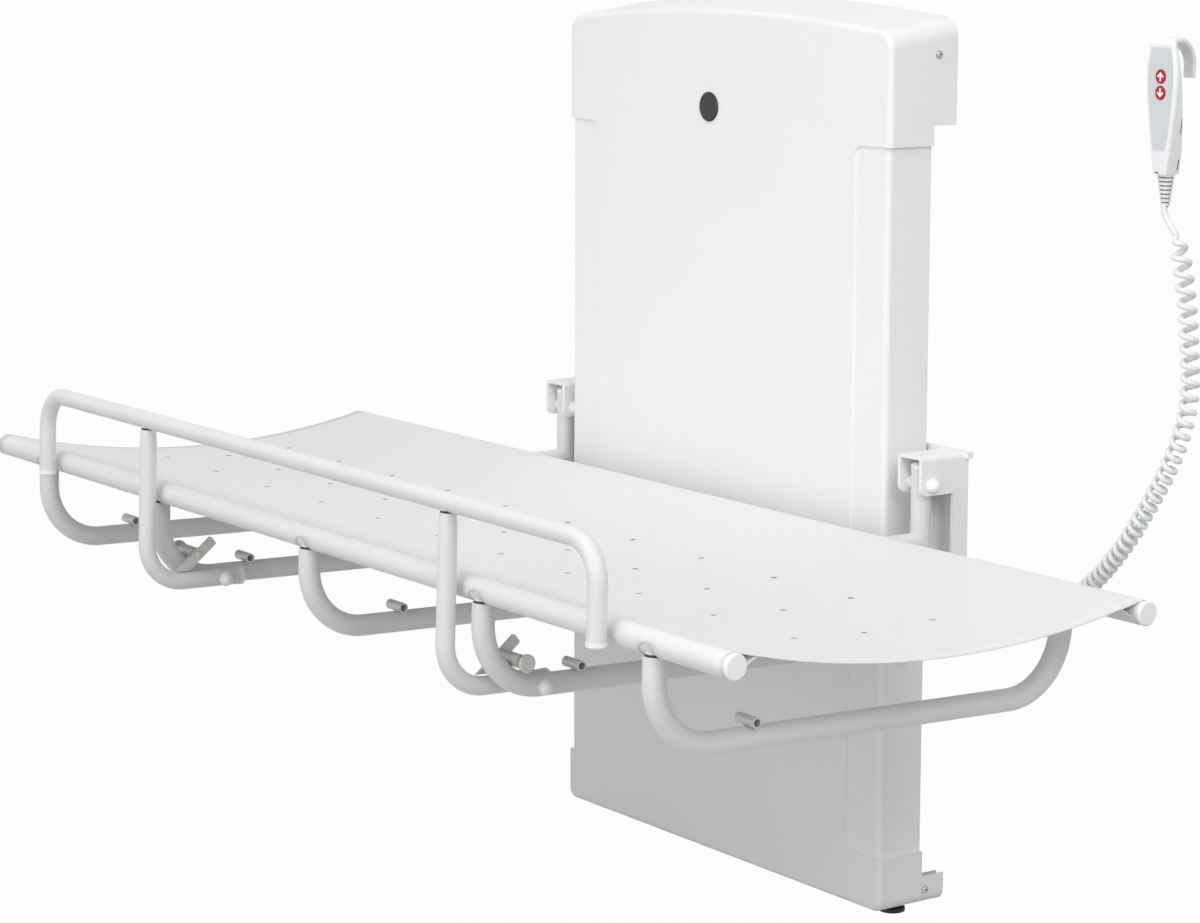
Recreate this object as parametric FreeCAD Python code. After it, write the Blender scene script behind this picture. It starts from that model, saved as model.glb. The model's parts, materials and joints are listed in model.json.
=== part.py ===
import FreeCAD, Part
import math
import os
from FreeCAD import Vector

# Shower changing table, mm. +X runs right along the wall, +Y into the wall, +Z up.
# The origin is the centre of the four wall bolts, on the wall plane.

# Wall fixing
BOLT_CENTRE_HEIGHT = 640.0
BOLT_SPACING_X = 500.0
BOLT_SPACING_Z = 960.0
BOLT_HOLE_R = 5.5

# Wall frame
UPRIGHT_WIDTH = 60.0
UPRIGHT_DEPTH = 22.0
UPRIGHT_WALL = 3.0
FRAME_LOW_UP = 70.0
FRAME_HIGH_UP = 1230.0
CROSS_BAR_HEIGHT = 40.0
CROSS_BAR_THICK = 4.0
SHELF_THICK = 5.0
SHELF_LOW_UP = 40.0
SHELF_DEPTH = 112.0
TAB_THICK = 4.0
TAB_HEIGHT = 28.0
TAB_BELOW_SHELF = 4.0
TAB_DEPTH = 50.0
TOP_PLATE_LOW_UP = 1232.0
TOP_PLATE_DEPTH = 62.0

# Cover
CAP_HALF = 384.0
BODY_HALF = 378.0
COVER_DEPTH = 122.0
COVER_WALL = 4.0
COVER_LOW_UP = 20.0
COVER_SHOULDER_UP = 1273.0
COVER_CROWN_UP = 1295.0
COVER_TOP_RISE = 18.0
STRIP_INNER = 308.0
STRIP_RECESS = 3.0
STRIP_HIGH_CORNER = 14.0
STRIP_LOW_CORNER = 36.0
SIDE_REAR = 41.0
SEAM_LOW_UP = 99.0
SEAM_HIGH_UP = 1115.0
NOTCH_LOW_UP = 61.0
NOTCH_HIGH_UP = 1143.0
COVER_ROUND = 8.0
SHOULDER_ROUND = 26.0
COVER_FOOT_ROUND = 16.0
COVER_SCREW_Y = -35.0
COVER_SCREW_LOW_UP = 41.0
COVER_SCREW_HIGH_UP = 1242.0
COVER_SCREW_R = 2.5
COVER_SCREW_HEAD_R = 6.0
COVER_SCREW_HEAD_H = 3.6
COVER_SCREW_KEY_R = 2.2
BADGE_X = -26.0
BADGE_Z_UP = 1151.0
BADGE_R = 22.0
BADGE_THICK = 2.5

# Levelling feet
FOOT_X = 330.0
FOOT_Y = -50.0
FOOT_PAD_R = 19.0
FOOT_PAD_H = 9.0
FOOT_STEM_R = 5.0
FOOT_STEM_TOP_UP = 62.0
FOOT_BUSH_R = 10.0
FOOT_BUSH_LENGTH = 12.0
FOOT_OPENING_R = 24.0

# Lifting columns
LIFT_X = 180.0
LIFT_Y = -80.0
LIFT_WIDTH = 100.0
LIFT_DEPTH = 56.0
LIFT_WALL = 3.0
LIFT_CLEAR = 0.5
LIFT_CORNER = 8.0
LIFT_PLATE_WIDTH = 124.0
LIFT_PLATE_DEPTH = 62.0
LIFT_PLATE_THICK = 6.0
STAGE_LENGTH = 440.0
STAGE_FLOOR_GAP = 2.0
LIFT_BELOW = 286.0

# Carriage
HEAD_HALF = 240.0
HEAD_THICK = 8.0
PLATE_FRONT = 36.0
PLATE_THICK = 6.0
PLATE_LOW_UP = 450.0
PLATE_CORE_LOW_UP = 520.0
LIP_INNER = 300.0
LIP_OUTER = 461.0
LIP_HEIGHT = 9.0
LIP_BACK = 27.0
BRACKET_X = 430.0
BRACKET_WIDTH = 50.0
BRACKET_WALL = 5.0
BRACKET_TOP_UP = 691.0
BRACKET_FRONT = 117.0
BRACKET_ROUND = 8.0
EAR_LOW_UP = 635.0
EAR_ROUND = 12.0
EAR_STRIP = 22.0
PIVOT_Y = -96.0
PIVOT_Z_UP = 649.0
PIVOT_R = 6.0
RUNNING_FIT = 0.05
BOLT_SLIP = 0.1
NUT_FLANGE_R = 11.0
NUT_FLANGE_H = 2.5
NUT_R = 9.8
STOP_R = 11.0
STOP_Z_UP = 472.0
STOP_GAP = 0.3

# Bench
RAIL_LENGTH = 1900.0
RAIL_R = 15.0
TUBE_WALL = 2.5
RAIL_SPACING = 658.5
REAR_Y = -171.0
REAR_Z_UP = 566.0
BENCH_TILT = 1.75
RAIL_CAP_R = 16.2
RAIL_CAP_THICK = 5.0
PLUG_LENGTH = 18.0
PLUG_CLEAR = 0.1
CROSS_INNER = 430.0
CROSS_END_GAP = 156.0
CROSS_DROP = 132.0
CROSS_BEND = 88.0
TUBE_END_GAP = 0.8
TUBE_PLUG_DEPTH = 20.0
SOCKET_R = 7.0
SOCKET_BORE_R = 5.0
SOCKET_LENGTH = 36.0
SOCKET_BACK = 144.0
ARM_R = 14.0
ARM_LOW_UP = 448.0
ARM_ABOVE_PIVOT = 23.0
ARM_CAP_THICK = 7.0
ARM_SIDE_GAP = 0.5
ARM_BUSH_R = 10.0

# Sling
SLING_END_GAP = 10.0
SLING_THICK = 1.2
SLING_CLEAR = 0.2
SLING_DIP = 24.0
SLING_SLOT_R = 17.5
SLING_SLOT_DROP = 20.0
DRAIN_R = 4.0
DRAIN_PITCH = 160.0
DRAIN_PER_ROW = 11
DRAIN_CENTRE_X = -20.0
DRAIN_ROW_GAP = 113.0
DRAIN_MIDDLE_BACK = 335.5

# Guard
GUARD_R = 12.5
GUARD_OFFSET = 37.0
GUARD_RISE = 111.5
GUARD_END_GAP = 224.0
GUARD_BEND = 52.0
GUARD_POST_LOW = 8.0
GUARD_ARM_GAP = 2.5
GUARD_ARM_BEND = 60.0
GUARD_NECK_R = 11.2
GUARD_NECK_LENGTH = 20.0
GUARD_PIVOT_BACK = 89.0
GUARD_TAIL = 27.0
GUARD_CAP_THICK = 8.0
GUARD_CAP_LIP = 0.7
GUARD_BOLT_R = 5.0
GUARD_BUSH_R = 8.0
GUARD_NUT_GAP = 0.3

# Latches
LATCH_BUSH_R = 9.0
LATCH_ANGLE = 52.0
LATCH_BUSH_INNER = 409.0
LATCH_BUSH_OUTER = 449.0
LATCH_SPINDLE_R = 5.5
LATCH_DISC_R = 12.0
LATCH_DISC_THICK = 5.0
LATCH_DISC_X = 458.0
LATCH_PLATE_THICK = 4.0
LATCH_PLATE_WIDTH = 15.0
LATCH_PLATE_UP = 32.0
LATCH_PLATE_SLOPE = 40.0
LATCH_NOSE_GAP = 2.9
LATCH_HEAD_R = 5.0
LATCH_HEAD_H = 2.5

# Control box
BOX_WIDTH = 190.0
BOX_DEPTH = 58.0
BOX_HEIGHT = 210.0
BOX_Y = -78.0

# Handset
SET_X = 842.0
SET_FRONT = -65.0
SET_DEPTH = 28.0
SET_TOP_DEPTH = 9.5
SET_TOP_UP = 1283.0
SET_LENGTH = 175.0
SET_HEAD_HALF = 22.0
SET_WIDE_HALF = 27.5
SET_WIDE_DROP = 55.0
SET_LOW_HALF = 11.5
SET_SWELL = 0.3
SET_STEPS = 8
SET_ROUND = 4.5
HOOK_TIGHT_R = 6.5
HOOK_TIGHT_TURN = 70.0
HOOK_WIDE_R = 32.0
HOOK_TIP_HALF = 9.5
HOOK_TIP_THICK = 6.0
HOOK_TIP_ROUND = 2.5
HOOK_DROP = 17.0
HOOK_TIGHT_STEPS = 2
HOOK_WIDE_STEPS = 6
PANEL_TOP_GAP = 13.0
PANEL_LENGTH = 132.0
PANEL_MARGIN = 5.7
PANEL_ROUND = 4.0
PANEL_THICK = 1.0
KEY_R = 9.0
KEY_THICK = 2.2
KEY_PROUD = 0.8
KEY_CLEAR = 0.3
KEY_TRAVEL_ROOM = 2.0
KEY_UP_DROP = 50.0
KEY_PITCH = 20.7
RELIEF_HALF = 11.0
RELIEF_DEPTH = 18.0
RELIEF_ROUND = 6.0
RELIEF_TIP_R = 5.4
RELIEF_LENGTH = 43.0
RELIEF_RIBS = 8
RELIEF_RIB_SHARE = 0.6
RELIEF_GROOVE = 1.3

# Curly cord
CORD_R = 4.0
COIL_R = 9.2
COIL_TURNS = 55
COIL_CROWDING = 0.45
GLAND_X = 300.0
GLAND_Y = -11.0
GLAND_Z_UP = 424.0
GLAND_R = 7.5

# Values that follow from the sizes above
FLOOR = -BOLT_CENTRE_HEIGHT
FRAME_LOW = FLOOR + FRAME_LOW_UP
FRAME_HIGH = FLOOR + FRAME_HIGH_UP
SHELF_LOW = FLOOR + SHELF_LOW_UP
TOP_PLATE_LOW = FLOOR + TOP_PLATE_LOW_UP
COVER_LOW = FLOOR + COVER_LOW_UP
COVER_SHOULDER = FLOOR + COVER_SHOULDER_UP
COVER_CROWN = FLOOR + COVER_CROWN_UP
SEAM_LOW = FLOOR + SEAM_LOW_UP
SEAM_HIGH = FLOOR + SEAM_HIGH_UP
NOTCH_LOW = FLOOR + NOTCH_LOW_UP
NOTCH_HIGH = FLOOR + NOTCH_HIGH_UP
COVER_SCREW_LOW = FLOOR + COVER_SCREW_LOW_UP
COVER_SCREW_HIGH = FLOOR + COVER_SCREW_HIGH_UP
BADGE_Z = FLOOR + BADGE_Z_UP
FOOT_STEM_TOP = FLOOR + FOOT_STEM_TOP_UP
PLATE_LOW = FLOOR + PLATE_LOW_UP
PLATE_CORE_LOW = FLOOR + PLATE_CORE_LOW_UP
BRACKET_TOP = FLOOR + BRACKET_TOP_UP
EAR_LOW = FLOOR + EAR_LOW_UP
PIVOT_Z = FLOOR + PIVOT_Z_UP
STOP_Z = FLOOR + STOP_Z_UP
REAR_Z = FLOOR + REAR_Z_UP
ARM_LOW = FLOOR + ARM_LOW_UP
ARM_TOP = PIVOT_Z + ARM_ABOVE_PIVOT
SET_TOP = FLOOR + SET_TOP_UP
GLAND_Z = FLOOR + GLAND_Z_UP
FRONT_Y = REAR_Y - RAIL_SPACING
CROSS_Z = REAR_Z - CROSS_DROP
SLING_HALF = RAIL_LENGTH / 2 - SLING_END_GAP
GUARD_HALF = RAIL_LENGTH / 2 - GUARD_END_GAP
CROSS_OUTER = RAIL_LENGTH / 2 - CROSS_END_GAP
CROSS_X = [-CROSS_OUTER, -CROSS_INNER, 0.0, CROSS_INNER, CROSS_OUTER]
UPRIGHT_X = BOLT_SPACING_X / 2
CAP_INNER = CAP_HALF - COVER_WALL
SHELF_TOP = SHELF_LOW + SHELF_THICK
LIFT_BASE = SHELF_TOP + LIFT_PLATE_THICK
MIDDLE_LOW = LIFT_BASE + STAGE_FLOOR_GAP + LIFT_BELOW / 2
INNER_LOW = LIFT_BASE + 2 * STAGE_FLOOR_GAP + LIFT_BELOW
HEAD_LOW = INNER_LOW + STAGE_LENGTH
GUARD_Y = FRONT_Y - GUARD_OFFSET
GUARD_Z = REAR_Z + GUARD_RISE
GUARD_ARM_X = CROSS_INNER - RAIL_R - GUARD_ARM_GAP - GUARD_R
GUARD_PIVOT_Y = FRONT_Y + GUARD_PIVOT_BACK
LATCH_REACH = CROSS_BEND - RAIL_R - LATCH_BUSH_R
LATCH_Y = FRONT_Y + CROSS_BEND - LATCH_REACH * math.cos(math.radians(LATCH_ANGLE))
LATCH_Z = CROSS_Z + CROSS_BEND - LATCH_REACH * math.sin(math.radians(LATCH_ANGLE))
SLEEVE_IN = RAIL_R + SLING_CLEAR
SLEEVE_OUT = SLEEVE_IN + SLING_THICK
SET_LOW = SET_TOP - SET_LENGTH
HOOK_EASE = math.sin(math.radians(HOOK_TIGHT_TURN))
HOOK_RISE = HOOK_TIGHT_R * HOOK_EASE + HOOK_WIDE_R * (1 - HOOK_EASE)
HOOK_CENTRE_Z = SET_TOP - HOOK_RISE - (SET_TOP_DEPTH + HOOK_TIP_THICK) / 4
KEY_UP_Z = SET_TOP - KEY_UP_DROP
KEY_DOWN_Z = KEY_UP_Z - KEY_PITCH

X_AXIS = Vector(1, 0, 0)
Y_AXIS = Vector(0, 1, 0)
Z_AXIS = Vector(0, 0, 1)


def box(x0, x1, y0, y1, z0, z1):
    return Part.makeBox(x1 - x0, y1 - y0, z1 - z0, Vector(x0, y0, z0))


def rod(radius, start, end):
    along = end - start
    return Part.makeCylinder(radius, along.Length, start, along)


def fuse(shapes):
    result = shapes[0]
    for shape in shapes[1:]:
        result = result.fuse(shape)
    return result.removeSplitter()


def rounded_edges(shape, radius, keep):
    edges = [edge for edge in shape.Edges if keep(edge)]
    return shape.makeFillet(radius, edges)


def runs_along(edge, axis):
    if len(edge.Vertexes) != 2:
        return False
    along = edge.Vertexes[1].Point - edge.Vertexes[0].Point
    return along.Length > 1e-6 and along.normalize().cross(axis).Length < 1e-6


def bent_wire(points, radius):
    edges = []
    start = points[0]
    for before, corner, after in zip(points, points[1:], points[2:]):
        back = (before - corner).normalize()
        ahead = (after - corner).normalize()
        half = back.getAngle(ahead) / 2
        set_off = radius / math.tan(half)
        first = corner + back * set_off
        last = corner + ahead * set_off
        centre = corner + (back + ahead).normalize() * (radius / math.sin(half))
        middle = centre + (corner - centre).normalize() * radius
        edges.append(Part.LineSegment(start, first).toShape())
        edges.append(Part.Arc(first, middle, last).toShape())
        start = last
    edges.append(Part.LineSegment(start, points[-1]).toShape())
    return Part.Wire(edges)


def sweep(wire, radius):
    start = wire.Edges[0].Vertexes[0].Point
    along = wire.Edges[0].tangentAt(wire.Edges[0].FirstParameter)
    circle = Part.Wire([Part.Circle(start, along, radius).toShape()])
    return wire.makePipeShell([circle], True, False)


def bent_tube(points, bend, radius):
    wire = bent_wire(points, bend)
    return sweep(wire, radius).cut(sweep(wire, radius - TUBE_WALL))


def revolved(profile, base, axis):
    # The profile lists (distance along the axis, radius) from one end to the other.
    side = Y_AXIS if abs(axis.x) > 0.5 else X_AXIS
    corners = [base + axis * profile[0][0]]
    corners += [base + axis * along + side * radius for along, radius in profile]
    corners += [base + axis * profile[-1][0], corners[0]]
    clean = [corners[0]]
    for corner in corners[1:]:
        if (corner - clean[-1]).Length > 1e-6:
            clean.append(corner)
    return Part.Face(Part.makePolygon(clean)).revolve(base, axis, 360)


def domed_nut(face, outward):
    side = Y_AXIS
    root = face + outward * NUT_FLANGE_H
    rim = root + side * NUT_R
    shoulder = root + (outward + side) * (NUT_R * math.sqrt(0.5))
    tip = root + outward * NUT_R
    edges = [Part.LineSegment(tip, face).toShape(),
             Part.LineSegment(face, face + side * NUT_FLANGE_R).toShape(),
             Part.LineSegment(face + side * NUT_FLANGE_R, root + side * NUT_FLANGE_R).toShape(),
             Part.LineSegment(root + side * NUT_FLANGE_R, rim).toShape(),
             Part.Arc(rim, shoulder, tip).toShape()]
    return Part.Face(Part.Wire(edges)).revolve(face, outward, 360)


def tilted(shape):
    turned = shape.copy()
    turned.rotate(Vector(0, REAR_Y, REAR_Z), X_AXIS, -BENCH_TILT)
    return turned


def mirrored(shape):
    return shape.mirror(Vector(0, 0, 0), X_AXIS)


def wall_frame():
    pieces = []
    for side in (-1, 1):
        x = side * UPRIGHT_X
        half = UPRIGHT_WIDTH / 2
        channel = box(x - half, x + half, -UPRIGHT_DEPTH, 0, FRAME_LOW, FRAME_HIGH)
        inside = half - UPRIGHT_WALL
        room = box(x - inside, x + inside, -UPRIGHT_DEPTH, -UPRIGHT_WALL, FRAME_LOW, FRAME_HIGH)
        pieces.append(channel.cut(room))
    reach = UPRIGHT_X + UPRIGHT_WIDTH / 2
    for low in (FRAME_LOW, FRAME_HIGH - CROSS_BAR_HEIGHT):
        pieces.append(box(-reach, reach, -CROSS_BAR_THICK, 0, low, low + CROSS_BAR_HEIGHT))
    frame = fuse(pieces)
    for x in (-UPRIGHT_X, UPRIGHT_X):
        for z in (-BOLT_SPACING_Z / 2, BOLT_SPACING_Z / 2):
            hole = Part.makeCylinder(BOLT_HOLE_R, UPRIGHT_DEPTH, Vector(x, -UPRIGHT_DEPTH / 2, z), Y_AXIS)
            frame = frame.cut(hole)
    return frame


def side_tab(side, low, screw_z):
    x0, x1 = sorted((side * CAP_INNER, side * (CAP_INNER - TAB_THICK)))
    tab = box(x0, x1, COVER_SCREW_Y - TAB_DEPTH / 2, COVER_SCREW_Y + TAB_DEPTH / 2, low, low + TAB_HEIGHT)
    near, far = Vector(x0 - 1, COVER_SCREW_Y, screw_z), Vector(x1 + 1, COVER_SCREW_Y, screw_z)
    return tab.cut(rod(COVER_SCREW_R, near, far))


def base_shelf():
    plate = box(-CAP_INNER, CAP_INNER, -SHELF_DEPTH, -CROSS_BAR_THICK, SHELF_LOW, SHELF_TOP)
    inner = UPRIGHT_X - UPRIGHT_WIDTH / 2 - 1
    rear = -CROSS_BAR_THICK
    upstand = box(-inner, inner, rear - SHELF_THICK, rear, SHELF_TOP, FRAME_LOW + CROSS_BAR_HEIGHT)
    pieces = [plate, upstand]
    pieces += [side_tab(side, SHELF_LOW - TAB_BELOW_SHELF, COVER_SCREW_LOW) for side in (-1, 1)]
    for side in (-1, 1):
        spot = Vector(side * FOOT_X, FOOT_Y, SHELF_LOW - FOOT_BUSH_LENGTH)
        pieces.append(Part.makeCylinder(FOOT_BUSH_R, FOOT_BUSH_LENGTH, spot, Z_AXIS))
    shelf = fuse(pieces)
    for side in (-1, 1):
        spot = Vector(side * FOOT_X, FOOT_Y, SHELF_LOW - FOOT_BUSH_LENGTH - 1)
        shelf = shelf.cut(Part.makeCylinder(FOOT_STEM_R + RUNNING_FIT, FOOT_BUSH_LENGTH + 10, spot, Z_AXIS))
        tip = Vector(side * CAP_HALF, COVER_SCREW_Y, COVER_SCREW_LOW)
        shelf = shelf.cut(rod(COVER_SCREW_R, tip, tip - X_AXIS * (side * (COVER_WALL + TAB_THICK + 8))))
    return shelf


def top_bracket():
    inner = UPRIGHT_X - UPRIGHT_WIDTH / 2 - 1
    rear = -CROSS_BAR_THICK
    plate = box(-CAP_INNER, CAP_INNER, -TOP_PLATE_DEPTH, rear, TOP_PLATE_LOW, TOP_PLATE_LOW + TAB_THICK)
    leg = box(-inner, inner, rear - TAB_THICK, rear, FRAME_HIGH - CROSS_BAR_HEIGHT, TOP_PLATE_LOW)
    tabs = [side_tab(side, TOP_PLATE_LOW - TAB_THICK, COVER_SCREW_HIGH) for side in (-1, 1)]
    return fuse([plate, leg] + tabs)


def arched_wire(half, low, inset, y):
    # Outline of the cover at one depth; its arched top climbs towards the wall.
    climb = COVER_TOP_RISE * (y + COVER_DEPTH) / COVER_DEPTH - inset
    left, right = Vector(-half, y, low), Vector(half, y, low)
    high_right = Vector(half, y, COVER_SHOULDER + climb)
    high_left = Vector(-half, y, COVER_SHOULDER + climb)
    edges = [Part.LineSegment(left, right).toShape(), Part.LineSegment(right, high_right).toShape()]
    edges.append(Part.Arc(high_right, Vector(0, y, COVER_CROWN + climb), high_left).toShape())
    edges.append(Part.LineSegment(high_left, left).toShape())
    return Part.Wire(edges)


def arched_block(half, low, inset, front, back):
    block = Part.makeLoft([arched_wire(half, low, inset, y) for y in (front, back)], True, True)
    deep = lambda edge: abs(edge.Vertexes[0].Y - edge.Vertexes[1].Y) > 1
    foot = lambda edge: deep(edge) and abs(edge.Vertexes[0].Z - low) < 1e-6
    block = rounded_edges(block, COVER_FOOT_ROUND - inset, foot)
    shoulder = lambda edge: deep(edge) and edge.Vertexes[0].Z > COVER_SHOULDER - inset - 1
    return rounded_edges(block, SHOULDER_ROUND - inset, shoulder)


def cover():
    outer = arched_block(CAP_HALF, COVER_LOW, 0, -COVER_DEPTH, 0)
    front = lambda edge: all(abs(v.Point.y + COVER_DEPTH) < 1e-6 for v in edge.Vertexes)
    outer = rounded_edges(outer, COVER_ROUND, front)
    strips = []
    for side in (-1, 1):
        x0, x1 = sorted((side * STRIP_INNER, side * (CAP_HALF + 10)))
        recess = box(x0, x1, -COVER_DEPTH - 1, 1, SEAM_LOW, SEAM_HIGH)
        for corner, z in ((STRIP_LOW_CORNER, SEAM_LOW), (STRIP_HIGH_CORNER, SEAM_HIGH)):
            inside = lambda edge: (runs_along(edge, Y_AXIS) and abs(edge.Vertexes[0].Z - z) < 1e-6
                                   and abs(abs(edge.Vertexes[0].X) - STRIP_INNER) < 1e-6)
            recess = rounded_edges(recess, corner, inside)
        outer = outer.cut(recess)
        x0, x1 = sorted((side * (STRIP_INNER - 2 * COVER_WALL), side * BODY_HALF))
        low, high = SEAM_LOW - COVER_WALL, SEAM_HIGH + COVER_WALL
        strip = box(x0, x1, STRIP_RECESS - COVER_DEPTH, -SIDE_REAR, low, high)
        nose = lambda edge: (runs_along(edge, Z_AXIS) and abs(abs(edge.Vertexes[0].X) - BODY_HALF) < 1e-6
                             and abs(edge.Vertexes[0].Y - STRIP_RECESS + COVER_DEPTH) < 1e-6)
        strips.append(rounded_edges(strip, COVER_ROUND, nose))
    shell = fuse([outer] + strips)
    inner = arched_block(CAP_INNER, COVER_LOW + COVER_WALL, COVER_WALL, COVER_WALL - COVER_DEPTH, 1)
    body_in = BODY_HALF - COVER_WALL
    for side in (-1, 1):
        x0, x1 = sorted((side * (STRIP_INNER - COVER_WALL), side * (CAP_HALF + 10)))
        inner = inner.cut(box(x0, x1, -COVER_DEPTH, 2, low, high))
    room_front = COVER_WALL + STRIP_RECESS - COVER_DEPTH
    shell = shell.cut(inner).cut(box(-body_in, body_in, room_front, 1, low - 1, high + 1))
    for side in (-1, 1):
        x0, x1 = sorted((side * (body_in - 6), side * (CAP_HALF + 10)))
        shell = shell.cut(box(x0, x1, -SIDE_REAR, 1, NOTCH_LOW, NOTCH_HIGH))
        spot = Vector(side * FOOT_X, FOOT_Y, COVER_LOW - 1)
        shell = shell.cut(Part.makeCylinder(FOOT_OPENING_R, COVER_WALL + 2, spot, Z_AXIS))
        for z in (COVER_SCREW_LOW, COVER_SCREW_HIGH):
            near = Vector(side * (CAP_INNER - 1), COVER_SCREW_Y, z)
            far = Vector(side * (CAP_HALF + 1), COVER_SCREW_Y, z)
            shell = shell.cut(rod(COVER_SCREW_R, near, far))
    return shell


def cover_screws():
    screws = []
    for side in (-1, 1):
        for z in (COVER_SCREW_LOW, COVER_SCREW_HIGH):
            face = Vector(side * CAP_HALF, COVER_SCREW_Y, z)
            outward = X_AXIS * side
            profile = [(0, COVER_SCREW_HEAD_R), (COVER_SCREW_HEAD_H * 0.5, COVER_SCREW_HEAD_R * 0.93),
                       (COVER_SCREW_HEAD_H * 0.85, COVER_SCREW_HEAD_R * 0.7),
                       (COVER_SCREW_HEAD_H, COVER_SCREW_R)]
            head = revolved(profile, face, outward)
            shank = rod(COVER_SCREW_R, face - outward * (COVER_WALL + TAB_THICK), face)
            floor = face + outward * (COVER_SCREW_HEAD_H * 0.4)
            turns = [k * math.pi / 3 for k in range(7)]
            ring = [floor + Vector(0, math.cos(turn), math.sin(turn)) * COVER_SCREW_KEY_R for turn in turns]
            hexagon = Part.Face(Part.makePolygon(ring))
            screws.append(head.fuse(shank).cut(hexagon.extrude(outward * COVER_SCREW_HEAD_H)))
    return Part.makeCompound(screws)


def badge():
    face = Vector(BADGE_X, -COVER_DEPTH, BADGE_Z)
    profile = [(0, BADGE_R), (BADGE_THICK * 0.6, BADGE_R), (BADGE_THICK, BADGE_R - 1.5)]
    return revolved(profile, face, Y_AXIS * -1)


def foot(side):
    base = Vector(side * FOOT_X, FOOT_Y, FLOOR)
    profile = [(0, FOOT_PAD_R), (FOOT_PAD_H * 0.6, FOOT_PAD_R), (FOOT_PAD_H, FOOT_PAD_R * 0.6),
               (FOOT_PAD_H, FOOT_STEM_R), (FOOT_STEM_TOP - FLOOR, FOOT_STEM_R)]
    return revolved(profile, base, Z_AXIS)


def rounded_bar(width, depth, corner, low, high):
    bar = box(-width / 2, width / 2, -depth / 2, depth / 2, low, high)
    bar = rounded_edges(bar, corner, lambda edge: runs_along(edge, Z_AXIS))
    return bar


def stage(shrink, low, side):
    width, depth, corner = LIFT_WIDTH - 2 * shrink, LIFT_DEPTH - 2 * shrink, LIFT_CORNER - shrink * 0.5
    outer = rounded_bar(width, depth, corner, low, low + STAGE_LENGTH)
    inner_width, inner_depth = width - 2 * LIFT_WALL, depth - 2 * LIFT_WALL
    bore = rounded_bar(inner_width, inner_depth, corner - LIFT_WALL * 0.5, low - 1, low + STAGE_LENGTH + 1)
    tube = outer.cut(bore)
    tube.translate(Vector(side * LIFT_X, LIFT_Y, 0))
    return tube


def lift_outer(side):
    plate = rounded_bar(LIFT_PLATE_WIDTH, LIFT_PLATE_DEPTH, LIFT_CORNER, SHELF_TOP, LIFT_BASE)
    plate.translate(Vector(side * LIFT_X, LIFT_Y, 0))
    return fuse([stage(0, LIFT_BASE, side), plate])


def lift_middle(side):
    return stage(LIFT_WALL + LIFT_CLEAR, MIDDLE_LOW, side)


def lift_inner(side):
    return stage(2 * (LIFT_WALL + LIFT_CLEAR), INNER_LOW, side)


def carriage_head():
    front = LIFT_Y - LIFT_DEPTH / 2
    plate = box(-HEAD_HALF, HEAD_HALF, front, -PLATE_FRONT, HEAD_LOW, HEAD_LOW + HEAD_THICK)
    lip_low, lip_high = HEAD_LOW + HEAD_THICK, HEAD_LOW + 4 * HEAD_THICK
    lip = box(-HEAD_HALF, HEAD_HALF, front, front + HEAD_THICK, lip_low, lip_high)
    return fuse([plate, lip])


def carriage_plate():
    back = PLATE_THICK - PLATE_FRONT
    reach = BRACKET_X + BRACKET_WIDTH / 2
    core = box(-HEAD_HALF, HEAD_HALF, -PLATE_FRONT, back, PLATE_CORE_LOW, HEAD_LOW + HEAD_THICK)
    lip_low = BRACKET_TOP - LIP_HEIGHT
    beam = box(-reach, reach, -PLATE_FRONT, back, PLATE_CORE_LOW, BRACKET_TOP)
    pieces = [core, beam]
    for side in (-1, 1):
        x0, x1 = sorted((side * (BRACKET_X - BRACKET_WIDTH / 2), side * reach))
        pieces.append(box(x0, x1, -PLATE_FRONT, back, PLATE_LOW, BRACKET_TOP))
        x0, x1 = sorted((side * LIP_INNER, side * LIP_OUTER))
        pieces.append(box(x0, x1, -PLATE_FRONT, -LIP_BACK, lip_low, BRACKET_TOP))
    return fuse(pieces)


def bracket(side):
    strip_front = -PLATE_FRONT - EAR_STRIP
    corners = [(-BRACKET_FRONT, BRACKET_TOP), (-PLATE_FRONT, BRACKET_TOP), (-PLATE_FRONT, PLATE_LOW),
               (strip_front, PLATE_LOW), (strip_front, EAR_LOW), (-BRACKET_FRONT, EAR_LOW)]
    half = BRACKET_WIDTH / 2
    ring = [Vector(BRACKET_X - half, y, z) for y, z in corners]
    block = Part.Face(Part.makePolygon(ring + ring[:1])).extrude(X_AXIS * BRACKET_WIDTH)
    nose = lambda edge: (runs_along(edge, X_AXIS) and abs(edge.Vertexes[0].Y + BRACKET_FRONT) < 1e-6
                         and abs(edge.Vertexes[0].Z - EAR_LOW) < 1e-6)
    block = rounded_edges(block, EAR_ROUND, nose)
    crest = lambda edge: runs_along(edge, Y_AXIS) and abs(edge.Vertexes[0].Z - BRACKET_TOP) < 1e-6
    block = rounded_edges(block, BRACKET_ROUND, crest)
    inside = half - BRACKET_WALL
    ceiling = BRACKET_TOP - BRACKET_WALL
    room = box(BRACKET_X - inside, BRACKET_X + inside, -BRACKET_FRONT - 1, -PLATE_FRONT + 1,
               PLATE_LOW - 1, ceiling)
    inner_round = lambda edge: runs_along(edge, Y_AXIS) and abs(edge.Vertexes[0].Z - ceiling) < 1e-6
    block = block.cut(rounded_edges(room, BRACKET_ROUND - BRACKET_WALL, inner_round))
    near = Vector(BRACKET_X - half - 1, PIVOT_Y, PIVOT_Z)
    block = block.cut(rod(PIVOT_R + BOLT_SLIP, near, near + X_AXIS * (BRACKET_WIDTH + 2)))
    return block if side > 0 else mirrored(block)


def arm_stop(side):
    start = Vector(side * BRACKET_X, -PLATE_FRONT, STOP_Z)
    length = -PIVOT_Y - ARM_R - STOP_GAP - PLATE_FRONT
    profile = [(0, STOP_R), (length - 3, STOP_R), (length, STOP_R - 3)]
    return revolved(profile, start, Y_AXIS * -1)


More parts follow.
